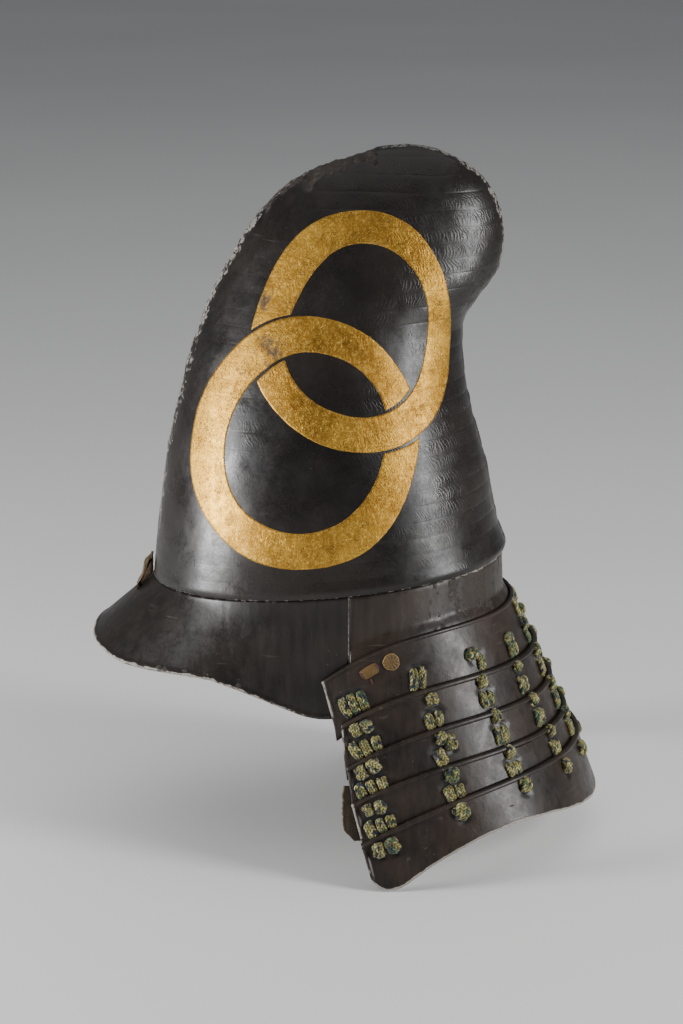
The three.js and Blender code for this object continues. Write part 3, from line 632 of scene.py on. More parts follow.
def make_bowl():
    rows, cols = 262, 332
    top = len(BOWL) - 1
    # rows stand evenly along the longest of the front, side and back lines
    fine = np.linspace(0, top, 3000)
    length = np.zeros(3000)
    for turn in (0.0, math.pi / 2, math.pi):
        line = bowl_point(fine, np.full(3000, turn))
        d = np.concatenate([[0], np.linalg.norm(np.diff(line, axis=0), axis=1)])
        length = np.maximum(length, d)
    length = np.cumsum(length)
    first = np.interp([0.0, 0.25, 0.6, 1.0, 1.5], length, fine)
    s = np.interp(np.linspace(2.2, length[-1], rows), length, fine)
    s = np.concatenate([first, s])[:-1]
    turn = np.arange(cols) / cols * 2 * math.pi
    S, U = np.meshgrid(s, turn, indexing="ij")
    p = bowl_point(S, U)
    n = grid_normals(p, True)
    if (n[60, :, 0] * p[60, :, 0]).sum() < 0:
        n = -n
    x, y, z = p[..., 0], p[..., 1], p[..., 2]
    table = along(BOWL, S)
    behind_front = y - table[..., 1]             # how far a point lies behind the front line
    before_back = table[..., 2] - y
    h = np.interp(S, fine, along(BOWL, fine)[:, 0])

    lumps = 0.30 * noise(p, 34, 1) + 0.13 * noise(p, 13, 2) + 0.05 * noise(p, 5, 3)
    # the lines between the bands, stronger towards the back
    band, run = bowl_marks(S, U, p)
    f = band - np.floor(band)
    d = np.minimum(f, 1 - f) * BAND
    broken = 0.15 + 0.85 * step(-0.2, 0.45, noise(p + np.floor(band + 0.5)[..., None] * 31.0, (34, 26, 400), 8))
    where = 0.12 + 0.88 * step(-35, 60, y)
    relief = lumps - 0.10 * np.exp(-(d / 0.9) ** 2) * broken * where + 0.05 * np.sin(math.pi * f) * where

    # the front line is worn through to the ground in a ragged strip; its pale colour is partly that wear and partly a
    # painted highlight
    strip = 2.5 + 1.3 * step(70, 120, h) + 1.2 * fbm(p, 22, 21) + 0.8 * noise(p, 5, 22)
    fade = step(6, 40, h) * (1 - step(228, 246, h))
    front = step(0.45, -0.45, behind_front - strip * (0.35 + 0.65 * fade)) * (y < 0) * np.maximum(fade, 0.45)
    front = front * (0.34 + 0.66 * step(12.5, 2.5, np.abs(x) + 2.5 * noise(p, 8, 24)))
    relief = relief - 0.42 * front + front * 0.42 * fbm(p, 3.6, 23)
    # flaked patch along the crest, in front of the crown
    reach = 15 + 4.5 * fbm(p, 13, 31) + 2.2 * noise(p, 4.5, 32)
    flake = step(1.0, -1.0, np.abs(x) - reach) * step(-17, -12, y + 4 * noise(p, 9, 33)) * (1 - step(31.2, 32.2, y + 1.2 * noise(p, 6, 34)))
    flake = flake * step(236, 244, z)
    crinkle = np.abs(fbm(p, 6.5, 35)) * 2 - 0.6
    relief = relief - 0.80 * flake + flake * (0.95 * crinkle + 0.25 * noise(p, 2.6, 38))
    ahead = step(1.0, -1.0, np.abs(x) - (8 + 4 * fbm(p, 10, 36))) * step(-46, -40, y) * (1 - step(-18, -12, y)) * step(200, 225, z)
    relief = relief - ahead * (0.45 + 0.6 * fbm(p, 6, 37))
    # the covering has crumbled along the ridge from the brow to the crown
    crumbled = step(15.0, 8.0, np.abs(x) + 2 * noise(p, 7, 40)) * step(-78, -62, y) * (1 - step(27, 32, y)) * step(180, 205, z)
    relief = relief + crumbled * (0.95 * fbm(p, 6.0, 39) - 0.30)
    # ragged seam down the back and under the bulge
    seam = step(1.5, -1.5, np.abs(x) - (7 + 2.5 * fbm(p, 12, 41))) * (y > 40)
    notch = seam * step(166, 176, z) * (1 - step(196, 206, z))
    low = seam * (1 - step(172, 184, z)) * step(4, 14, z)
    relief = relief + notch * (1.35 * fbm(p, 6, 42) - 0.6) + low * (0.75 * np.maximum(noise(p, (9, 9, 6.5), 43), -0.2))
    under = step(2.5, -2.5, np.abs(x) - (26 + 8 * fbm(p, 16, 44))) * (y > 70) * step(166, 178, z) * (1 - step(196, 206, z))
    relief = relief + under * 0.75 * fbm(p, 5, 45)

    # rounded lower edge
    r = 1.3
    base = h[:, :1]
    inset = np.where(base < r, r * (1 - np.sqrt(np.maximum(0, 1 - ((r - base) / r) ** 2))), 0.0)
    p = p + n * (relief * step(0.5, 5, h))[..., None]
    flat = unit(np.stack([x, y, np.zeros_like(x)], -1))
    p = p - flat * inset[..., None]

    # a thin pale line down the back ridge: partly wear, partly a painted highlight
    back_edge = step(8.5, 4.0, np.abs(x) + 2.2 * noise(p, 6, 52)) * step(30, 42, y) * step(178, 200, z)
    relief_edge = back_edge * 0.30 * fbm(p, 3.6, 54)
    p = p + n * relief_edge[..., None]
    wear_and_highlight = np.clip(np.maximum(front * (0.66 + 0.30 * noise(p, (4, 4, 9), 25)), back_edge * 0.47), 0, 1)
    hem = step(1.6, 0.2, h) * 0.30
    wear_and_highlight = np.maximum(wear_and_highlight, hem)
    chip = np.clip(np.maximum(np.maximum(flake, ahead * 0.6), np.maximum(notch, low * 0.55)) + under * 0.4, 0, 1)

    # the inside: a plain smooth wall
    icols = 110
    fold = np.linspace(0, top, 64)[:-1]
    IS, IU = np.meshgrid(fold, np.arange(icols) / icols * 2 * math.pi, indexing="ij")
    wall = np.where(IS < 0.8, RIM_LAND + (BOWL_WALL - RIM_LAND) * np.clip(IS / 0.8, 0, 1), BOWL_WALL)
    qi = np.stack([bowl_point(IS[k], IU[k], float(wall[k, 0])) for k in range(len(fold))])
    keep = along(BOWL, fold)[:, 3] > BOWL_WALL + 2.5
    qi = qi[keep]
    nk = len(qi)

    R = len(s)
    points = [p.reshape(-1, 3), bowl_point(np.array(float(top)), np.array(0.0))[None], qi.reshape(-1, 3)]
    crown = R * cols
    start = crown + 1
    hollow = start + nk * icols
    roof = qi[-1].mean(0)
    points.append(roof[None])
    points = np.concatenate(points)
    i, j = np.meshgrid(np.arange(R - 1), np.arange(cols), indexing="ij")
    k = (j + 1) % cols
    faces = [np.stack([i * cols + j, i * cols + k, (i + 1) * cols + k, (i + 1) * cols + j], -1).reshape(-1, 4)]
    j = np.arange(cols)
    k = (j + 1) % cols
    last = (R - 1) * cols
    faces.append(np.stack([last + j, last + k, np.full(cols, crown), np.full(cols, crown)], -1))
    i, j = np.meshgrid(np.arange(nk - 1), np.arange(icols), indexing="ij")
    k = (j + 1) % icols
    faces.append(np.stack([start + i * icols + j, start + (i + 1) * icols + j, start + (i + 1) * icols + k, start + i * icols + k], -1).reshape(-1, 4))
    j = np.arange(icols)
    k = (j + 1) % icols
    last = start + (nk - 1) * icols
    faces.append(np.stack([last + k, last + j, np.full(icols, hollow), np.full(icols, hollow)], -1))
    # the rim: walk round both edges together
    rim = []
    a = b = 0
    while a < cols or b < icols:
        if b >= icols or (a < cols and (a + 1) * icols <= (b + 1) * cols):
            rim.append([a % cols, start + b % icols, (a + 1) % cols, (a + 1) % cols])
            a += 1
        else:
            rim.append([a % cols, start + b % icols, start + (b + 1) % icols, start + (b + 1) % icols])
            b += 1
    faces.append(np.array(rim))
    faces = np.concatenate(faces)
    extra = len(points) - R * cols
    attrs = {
        "wear_and_highlight": np.concatenate([wear_and_highlight.ravel(), np.zeros(extra)]),
        "chip": np.concatenate([chip.ravel(), np.zeros(extra)]),
        "band": np.concatenate([band.ravel(), np.full(extra, 0.5)]),
        "run": np.concatenate([run.ravel(), np.zeros(extra)]),
        "marked": np.concatenate([bowl_marked(p).ravel(), np.zeros(extra)]),
    }
    return make_object("bowl_shell", points, faces, BOWL_MAT, attrs, ("bowl",))


# ------------------------------------------------------------------ gold rings
# outlines by the angle about a centre on the bowl's side, every 15 degrees (mm)
UPPER = {"at": (16.6, 167.2),
         "inner": (48.4, 50.1, 52.6, 55.2, 57.2, 57.5, 55.7, 51.7, 46.7, 43.2, 41.6, 41.8,
                   43.9, 46.4, 47.4, 47.8, 48.1, 48.7, 50.5, 52.8, 54.2, 53.4, 50.8, 48.5),
         "outer": (64.2, 65.2, 68.4, 72.4, 76.7, 77.9, 76.4, 74.0, 70.4, 66.6, 64.2, 64.1,
                   66.4, 69.0, 70.1, 69.9, 70.1, 71.2, 72.9, 75.9, 78.3, 77.4, 71.4, 65.8)}
LOWER = {"at": (-13.9, 97.1),
         "inner": (50.8, 53.6, 56.7, 58.2, 59.5, 59.6, 59.1, 56.8, 53.6, 51.6, 50.7, 50.9,
                   52.5, 54.7, 57.1, 58.2, 56.9, 55.4, 53.7, 52.2, 51.2, 50.0, 49.5, 49.7),
         "outer": (73.8, 75.0, 75.9, 77.8, 80.4, 81.6, 81.6, 79.8, 76.7, 73.9, 73.1, 73.7,
                   75.7, 79.6, 82.8, 83.8, 82.7, 80.1, 77.6, 76.9, 76.8, 75.4, 73.5, 72.6)}


RUBBED = (((-39.5, 184.5), 6.5, 0.85), ((-37, 156.5), 12.0, 0.66), ((-55, 143), 7.0, 0.42), ((-27, 146), 7.0, 0.40),
          ((31, 226), 5.0, 0.30), ((-4, 214), 6.0, 0.25), ((-30, 122), 7.0, 0.30))


def ring_radius(values, angle):
    """Smooth closed curve through values at every 15 degrees; angle in degrees."""
    v = np.asarray(values)
    q = np.mod(angle, 360) / 15.0
    i = np.floor(q).astype(int) % 24
    t = q - np.floor(q)
    p0, p1, p2, p3 = v[(i - 1) % 24], v[i], v[(i + 1) % 24], v[(i + 2) % 24]
    m1, m2 = (p2 - p0) / 2, (p3 - p1) / 2
    return (p1 * (2 * t ** 3 - 3 * t ** 2 + 1) + m1 * (t ** 3 - 2 * t ** 2 + t)
            + p2 * (3 * t ** 2 - 2 * t ** 3) + m2 * (t ** 3 - t ** 2))


def ring_place(ring, angle, across):
    """(y, z) on the bowl's side; across is 0 on the inner and 1 on the outer outline."""
    r = ring_radius(ring["inner"], angle) * (1 - across) + ring_radius(ring["outer"], angle) * across
    a = np.radians(angle)
    return np.stack([ring["at"][0] + r * np.cos(a), ring["at"][1] + r * np.sin(a)], -1)


def ring_depth(ring, yz):
    """How far inside a ring's band a place lies, in mm; negative outside it."""
    d = yz - np.array(ring["at"])
    angle = np.degrees(np.arctan2(d[..., 1], d[..., 0]))
    r = np.hypot(d[..., 0], d[..., 1])
    return np.minimum(r - ring_radius(ring["inner"], angle), ring_radius(ring["outer"], angle) - r)


def make_ring(name, ring, other, gap_near, side):
    """A gilt band lying on the bowl. It passes under the other band near the angle gap_near."""
    lines, steps = 13, 320
    across = np.concatenate([[0.0, 0.018], np.linspace(0.06, 0.94, lines - 4), [0.982, 1.0]])
    start = np.zeros(lines)
    end = np.zeros(lines)
    span = np.arange(-40, 40.001, 0.05)
    for k, w in enumerate(across):
        # the stretch hidden under the other band, with a small gap on either side
        hidden = ring_depth(other, ring_place(ring, gap_near + span, w)) > -0.9
        marks = np.flatnonzero(hidden)
        seed = marks[np.argmin(np.abs(span[marks]))]
        low = seed
        while low > 0 and hidden[low - 1]:
            low -= 1
        high = seed
        while high < len(span) - 1 and hidden[high + 1]:
            high += 1
        start[k] = gap_near + span[high]
        end[k] = gap_near + 360 + span[low]
    t = np.linspace(0, 1, steps)[:, None]
    angle = start[None] * (1 - t) + end[None] * t
    W = np.broadcast_to(across[None], angle.shape)
    yz = ring_place(ring, angle, W)
    ragged = 0.28 * noise(np.stack([yz[..., 0], yz[..., 1], yz[..., 0] * 0 + side * 9], -1), 3.5, 61)
    push = np.where((W < 0.01) | (W > 0.99), 1.0, 0.0)
    a = np.radians(angle)
    yz = yz + np.stack([np.cos(a), np.sin(a)], -1) * (ragged * push)[..., None]
    x, place = bowl_side(yz[..., 0], yz[..., 1])
    p = np.stack([x, yz[..., 0], yz[..., 1]], -1)
    row = along(BOWL, place)
    ahead = yz[..., 0] - row[..., 4]
    reach = np.where(ahead < 0, row[..., 4] - row[..., 1], row[..., 2] - row[..., 4])
    power = np.where(ahead < 0, row[..., 5], row[..., 6])
    turn = np.arccos(np.clip(np.sign(ahead) * np.clip(np.abs(ahead) / reach, 0, 1) ** (power / 2), -1, 1))
    d = 0.5
    dy = (bowl_side(yz[..., 0] + d, yz[..., 1])[0] - bowl_side(yz[..., 0] - d, yz[..., 1])[0]) / (2 * d)
    dz = (bowl_side(yz[..., 0], yz[..., 1] + d)[0] - bowl_side(yz[..., 0], yz[..., 1] - d)[0]) / (2 * d)
    n = unit(np.stack([np.ones_like(dy), -dy, -dz], -1))
    # it lies on the same soft lumps and creases as the bowl
    q = p * np.array([side, 1, 1])
    lumps = 0.30 * noise(q, 34, 1) + 0.13 * noise(q, 13, 2) + 0.05 * noise(q, 5, 3)
    rise = np.where(push > 0, -0.30, 0.34) + lumps
    ends = np.minimum(np.arange(steps), np.arange(steps)[::-1])[:, None]
    rise = np.where(ends == 0, lumps - 0.30, rise)
    p = p + n * rise[..., None]
    under = p - n * 0.9
    p[..., 0] *= side
    under[..., 0] *= side
    band, run = bowl_marks(place, turn, q)
    f = band - np.floor(band)
    p = p - n * (0.07 * np.exp(-(np.minimum(f, 1 - f) * BAND / 0.9) ** 2) * step(-50, 50, yz[..., 0]))[..., None] * np.array([side, 1, 1])
    wear_and_highlight = np.where((W < 0.03) | (W > 0.97) | (ends < 2), 0.30, 0.0)
    # smudged places where the leaf has rubbed thin
    for (at_y, at_z), size, much in RUBBED:
        near = np.hypot(yz[..., 0] - at_y, yz[..., 1] - at_z) / size
        wear_and_highlight = np.maximum(wear_and_highlight, much * np.exp(-near ** 2) * (0.75 + 0.5 * noise(q, 5, 63)))
    points, faces, attrs = loft(p, under, {"wear_and_highlight": np.clip(wear_and_highlight, 0, 1), "band": band, "run": run, "marked": bowl_marked(q) * 0.8 + 0.2})
    return make_object(name, points, faces, GOLD_MAT, attrs)


# ------------------------------------------------------------------ visor
def make_visor():
    sections, rows = 240, 56
    u = np.linspace(-1, 1, sections)
    u = np.concatenate([[-1], [-0.9965], u[1:-1], [0.9965], [1]])
    v = np.concatenate([[0, 0.006, 0.02], np.linspace(0.045, 0.93, rows - 10), [0.95, 0.962, 0.972, 0.981, 0.989, 0.996, 1.0]])
    U, V = np.meshgrid(u, v, indexing="ij")
    ends = (np.abs(U) > 0.9999)
    # small bites out of the lower edge, mostly on the sides
    at = np.stack([U * 150, U * 0, U * 0], -1)
    bite = np.maximum(0, fbm(at, 9, 71) - 0.12) * 1.5 + 0.35 * np.maximum(0, noise(at, 3.1, 72))
    where = 0.35 + 0.9 * np.exp(-((np.abs(U) - 0.58) / 0.16) ** 2)
    cut = bite * where
    VV = V * (1 - cut * 0.016 * step(0.9, 1.0, V))
    p = visor_point(U, np.clip(VV, 0, 1))
    d = 0.004
    up, dn = visor_point(U, np.clip(V - d, 0, 1)), visor_point(U, np.clip(V + d, 0, 1))
    lf, rt = visor_point(np.clip(U - d, -1, 1), V), visor_point(np.clip(U + d, -1, 1), V)
    n = unit(np.cross(dn - up, rt - lf))
    flip = (n[..., 0] * p[..., 0] + n[..., 1] * p[..., 1]) < 0
    n = np.where(flip[..., None], -n, n)
    top = V < 0.001
    flat = unit(np.stack([n[..., 0], n[..., 1], n[..., 2] * 0], -1))
    n = np.where(top[..., None], flat, n)
    length = np.linalg.norm(visor_point(u, np.ones_like(u)) - visor_point(u, np.zeros_like(u)), axis=-1)[:, None]
    down = (1 - V) * length                        # mm above the lower edge
    bead = 0.55 * np.sqrt(np.maximum(0, 1 - ((down - 1.5) / 1.6) ** 2))
    relief = 0.16 * noise(p, 38, 73) + 0.06 * noise(p, 11, 74) + 0.03 * noise(p, (2.5, 2.5, 26), 75)
    # two hairline cracks that run down from the rim on each side
    for at_y, wide, deep in ((-46.0, 0.7, 0.09), (-66.0, 0.7, 0.10)):
        line = p[..., 1] - at_y - 2.0 * noise(p, (300, 300, 14), 76)
        relief = relief - deep * np.exp(-(line / wide) ** 2) * (1 - step(0.55, 0.8, V))
    relief = relief * step(0.0, 0.06, V) * step(0, 3.0, down) * (1 - step(0.985, 1.0, np.abs(U)))
    edge_round = np.where(V > 0.9985, -0.75, np.where(V > 0.994, -0.35, 0.0)) + np.where(top, -0.5, 0.0) + np.where(ends, -0.4, 0.0)
    worn = step(2.4, 1.1, down + 1.0 * noise(p, (4, 4, 4), 77)) * (0.26 + 0.50 * step(5, -45, p[..., 1]))
    flakes = step(0.1, 0.5, fbm(p, 7, 78)) * step(7.5, 2.5, down) * step(0.30, 0.45, np.abs(U)) * 0.8
    outer = p + n * (relief + bead * (down < 3.1) + edge_round)[..., None]
    inner = p - n * (BAND_WALL - np.where(V > 0.996, 0.7, 0) - np.where(top, 0.4, 0))[..., None]
    wear_and_highlight = np.clip(np.maximum(worn, step(0.9955, 0.999, np.abs(U)) * 0.75), 0, 1)
    wear_and_highlight = np.maximum(wear_and_highlight, step(1.2, 0.3, V * length) * 0.3)
    chip = np.clip(flakes, 0, 1)
    points, faces, attrs = loft(outer, inner, {"wear_and_highlight": wear_and_highlight, "chip": chip}, {"wear_and_highlight": 0.0})
    return make_object("visor_plate", points, faces, VISOR_MAT, attrs, ("visor",))


# ------------------------------------------------------------------ base band
def make_band():
    back, deep, half = 118.4, 118.4, 97.9
    sections = 190
    end_top = turn_of_y(back, deep, SEAM_Y + 1.3 * GAP)
    end_low = turn_of_y(RIDGE[0][0], RIDGE[0][1], SEAM_Y + 1.3 * GAP)
    u = np.linspace(-1, 1, sections)
    u = np.concatenate([[-1], [-0.9965], u[1:-1], [0.9965], [1]])
    a = np.radians(u * end_top)
    x, y = half * np.sin(a), deep * np.cos(a)
    n = outward(x, y, half, deep)
    top = np.stack([x, y, RIM_TILT * y - GAP], -1)
    rp, rn = ridge_point(0, u * end_low)
    low = rp - rn * NEST
    r1, _ = ridge_point(1, u * end_low)
    foot = rp + (r1 - rp) * 0.3 - rn * (NEST + 0.5)
    knee = np.stack([top[:, 0] * 0.75 + low[:, 0] * 0.25, top[:, 1] * 0.82 + low[:, 1] * 0.18, top[:, 2] * 0.2 + low[:, 2] * 0.8], -1)
    inner_top = top - n * BAND_WALL
    inner_top[:, 2] = RIM_TILT * inner_top[:, 1] - GAP

    def path(keys, counts):
        rows = []
        for k in range(len(keys) - 1):
            t = np.linspace(0, 1, counts[k], endpoint=(k == len(keys) - 2))
            rows += [keys[k] + (keys[k + 1] - keys[k]) * q for q in t]
        return np.stack(rows, 1)

    outer = path([top, knee, low, foot], [22, 9, 5])
    inner = path([inner_top, knee - n * BAND_WALL, low - rn * BAND_WALL, foot - rn * BAND_WALL], [22, 9, 5])
    # soften the knee
    for _ in range(3):
        outer[:, 1:-1] = (outer[:, :-2] + 2 * outer[:, 1:-1] + outer[:, 2:]) / 4
        inner[:, 1:-1] = (inner[:, :-2] + 2 * inner[:, 1:-1] + inner[:, 2:]) / 4
    rows = outer.shape[1]
    nn = np.repeat(n[:, None], rows, 1)
    relief = 0.18 * noise(outer, 26, 81) + 0.10 * noise(outer, (2.4, 2.4, 40), 82) + 0.05 * noise(outer, 6, 83)
    row = np.arange(rows)[None]
    ends = (np.abs(u) > 0.9999)[:, None]
    relief = relief * (row > 1) - 0.55 * (row == 0) - 0.12 * (row == 1) - 0.4 * ends
    outer = outer + nn * relief[..., None]
    inner[:, 0] -= n * -0.35
    from_top = np.linalg.norm(outer - outer[:, :1], axis=-1)
    # the top edge is paler, more so behind: partly wear, partly a painted highlight
    behind = step(40, 95, outer[..., 1])
    wear_and_highlight = step(2.4, 0.6, from_top + 0.6 * noise(outer, 5, 84)) * (0.30 + 0.6 * behind)
    wear_and_highlight = np.maximum(wear_and_highlight, step(0.9955, 0.999, np.abs(u))[:, None] * 0.25)
    chip = step(0.25, 0.55, fbm(outer, (5, 5, 3), 85)) * step(9, 3, from_top) * behind * 0.8
    # the rear of the band has lost its gloss in upright streaks
    chip = np.maximum(chip, step(30, 85, outer[..., 1]) * np.clip(0.34 + 0.30 * noise(outer, (3, 3, 40), 86), 0, 0.6))
    points, faces, attrs = loft(outer, inner, {"wear_and_highlight": wear_and_highlight, "chip": chip})
    return make_object("band_plate", points, faces, GUARD_MAT, attrs, ("base_band",))


# ------------------------------------------------------------------ lacing table
# the wearer's left side, from the front end to the back: column, lame, kind (s strand that
# goes in under the next lip, k knot), turn, place down the lame, width, height, lean
LACING = [
    (1, 1, "s", 92.0, 0.76, 6.0, 14.1, -4), (1, 1, "s", 89.5, 0.77, 6.0, 14.1, -4), (1, 1, "s", 86.8, 0.79, 6.0, 12.9, -4),
    (1, 2, "k", 90.5, 0.30, 7.2, 8.8, 3), (1, 2, "k", 87.4, 0.34, 8.2, 8.8, -6),
    (1, 2, "s", 91.5, 0.78, 6.8, 13.0, 2), (1, 2, "s", 88.6, 0.84, 6.2, 11.9, -3), (1, 2, "s", 85.5, 0.84, 6.2, 9.6, -8),
    (1, 3, "k", 91.0, 0.33, 7.3, 10.0, 0), (1, 3, "k", 87.5, 0.32, 9.2, 10.2, 5),
    (1, 3, "s", 92.0, 0.83, 6.9, 10.8, 0), (1, 3, "s", 89.0, 0.86, 6.2, 9.6, 4), (1, 3, "s", 86.0, 0.89, 6.8, 8.6, -6),
    (1, 4, "k", 90.5, 0.33, 6.1, 8.2, 0), (1, 4, "k", 87.4, 0.39, 9.2, 8.6, 8),
    (1, 4, "s", 90.2, 0.83, 7.2, 12.2, 2), (1, 4, "s", 87.5, 0.84, 5.8, 10.0, 0), (1, 4, "s", 84.9, 0.86, 6.2, 8.8, -9),
    (1, 5, "k", 89.0, 0.25, 7.9, 10.3, -4), (1, 5, "k", 85.5, 0.26, 9.8, 10.6, 6),
    (2, 1, "s", 70.5, 0.79, 5.6, 14.9, -15), (2, 1, "s", 67.9, 0.81, 5.6, 15.8, -13),
    (2, 2, "k", 67.0, 0.31, 8.1, 9.3, 4), (2, 2, "s", 69.3, 0.83, 6.4, 11.0, 3), (2, 2, "s", 66.4, 0.82, 6.3, 10.4, -14),
    (2, 3, "k", 67.5, 0.28, 7.8, 9.0, -5), (2, 3, "k", 65.0, 0.47, 8.2, 10.9, 14), (2, 3, "s", 68.8, 0.80, 8.2, 11.5, 11),
    (2, 4, "k", 67.0, 0.30, 10.2, 10.9, -6), (2, 4, "s", 68.5, 0.81, 6.8, 11.0, 8), (2, 4, "s", 65.6, 0.84, 7.0, 9.2, -6),
    (2, 5, "k", 67.0, 0.26, 11.2, 11.6, 5),
    (3, 1, "k", 48.0, 0.63, 11.5, 8.3, 90), (3, 1, "s", 45.4, 0.83, 6.6, 11.4, -4),
    (3, 2, "k", 48.5, 0.22, 8.6, 9.6, 3), (3, 2, "s", 49.7, 0.70, 6.2, 11.6, 4), (3, 2, "s", 47.1, 0.72, 6.0, 11.0, -5),
    (3, 3, "k", 48.0, 0.16, 8.6, 8.8, -4), (3, 3, "s", 49.0, 0.71, 6.4, 12.4, 2), (3, 3, "s", 46.3, 0.73, 6.4, 12.0, -10),
    (3, 4, "k", 47.5, 0.23, 9.4, 9.1, 6), (3, 4, "s", 48.8, 0.82, 6.4, 10.6, 3), (3, 4, "s", 46.2, 0.84, 6.4, 9.8, -4),
    (3, 5, "k", 46.5, 0.25, 10.4, 11.0, -3),
    (4, 1, "k", 27.5, 0.62, 10.5, 8.3, 80), (4, 1, "s", 28.6, 0.83, 7.0, 11.0, 3), (4, 1, "s", 26.0, 0.84, 6.2, 10.0, -6),
    (4, 2, "k", 30.5, 0.19, 8.6, 8.4, 0), (4, 2, "s", 31.2, 0.70, 6.4, 11.5, 5), (4, 2, "s", 28.7, 0.71, 6.2, 10.5, -3),
    (4, 3, "k", 29.0, 0.15, 8.8, 8.8, 0), (4, 3, "s", 29.6, 0.69, 6.8, 12.5, -2), (4, 3, "s", 27.2, 0.70, 6.2, 11.5, -8),
    (4, 4, "k", 27.0, 0.19, 9.0, 8.4, 5), (4, 4, "s", 28.2, 0.82, 6.8, 11.3, 3), (4, 4, "s", 25.8, 0.84, 6.2, 10.5, -3),
    (4, 5, "k", 26.5, 0.26, 10.0, 10.3, -6),
    (5, 1, "s", 9.4, 0.24, 5.4, 12.5, -6), (5, 1, "k", 9.0, 0.60, 8.2, 9.2, 12), (5, 1, "s", 10.0, 0.84, 6.2, 10.5, 4),
    (5, 2, "k", 10.4, 0.20, 8.4, 9.0, -8), (5, 2, "s", 11.2, 0.68, 6.4, 13.0, -6), (5, 2, "s", 8.8, 0.70, 6.2, 12.0, -2),
    (5, 3, "k", 10.0, 0.17, 8.4, 9.5, -8), (5, 3, "s", 10.9, 0.68, 6.4, 13.2, -8), (5, 3, "s", 8.5, 0.70, 6.2, 12.2, 2),
    (5, 4, "k", 9.6, 0.18, 8.4, 9.0, -8), (5, 4, "s", 10.6, 0.76, 6.4, 13.2, -8), (5, 4, "s", 8.2, 0.78, 6.2, 12.0, 3),
    (5, 5, "k", 9.2, 0.26, 10.0, 10.3, -6),
]


def lace_frame(k, turn, v):
    """Origin, sideways, downwards and outwards directions on lame k's face."""
    one = lambda t, w: lame_point(k, np.array(t, float), np.array(w, float))
    o = one(turn, v)
    side = unit(one(turn + 0.6, v) - one(turn - 0.6, v))
    down = unit(one(turn, min(v + 0.05, 1)) - one(turn, v - 0.05))
    out = unit(np.cross(side, down))
    _, n = ridge_point(k, np.array(turn, float))
    if np.dot(out, n) < 0:
        out = -out
    down = unit(np.cross(out, side)) * np.sign(np.dot(np.cross(out, side), down))
    return o, side, down, out


def all_laces():
    """Every lace element on both sides, with small differences on the right side."""
    rng = np.random.RandomState(7)
    rows = []
    for column, lame, kind, turn, v, wide, high, lean in LACING:
        rows.append((f"lacing_{column}", lame - 1, kind, turn, v, wide, high, lean))
        k = rng.uniform(-1, 1, 5)
        rows.append((f"lacing_{11 - column}", lame - 1, kind, -(turn + 0.5 * k[0]), v + 0.015 * k[1],
                     wide * (1 + 0.08 * k[2]), high * (1 + 0.06 * k[3]), -lean + 5 * k[4]))
    return rows


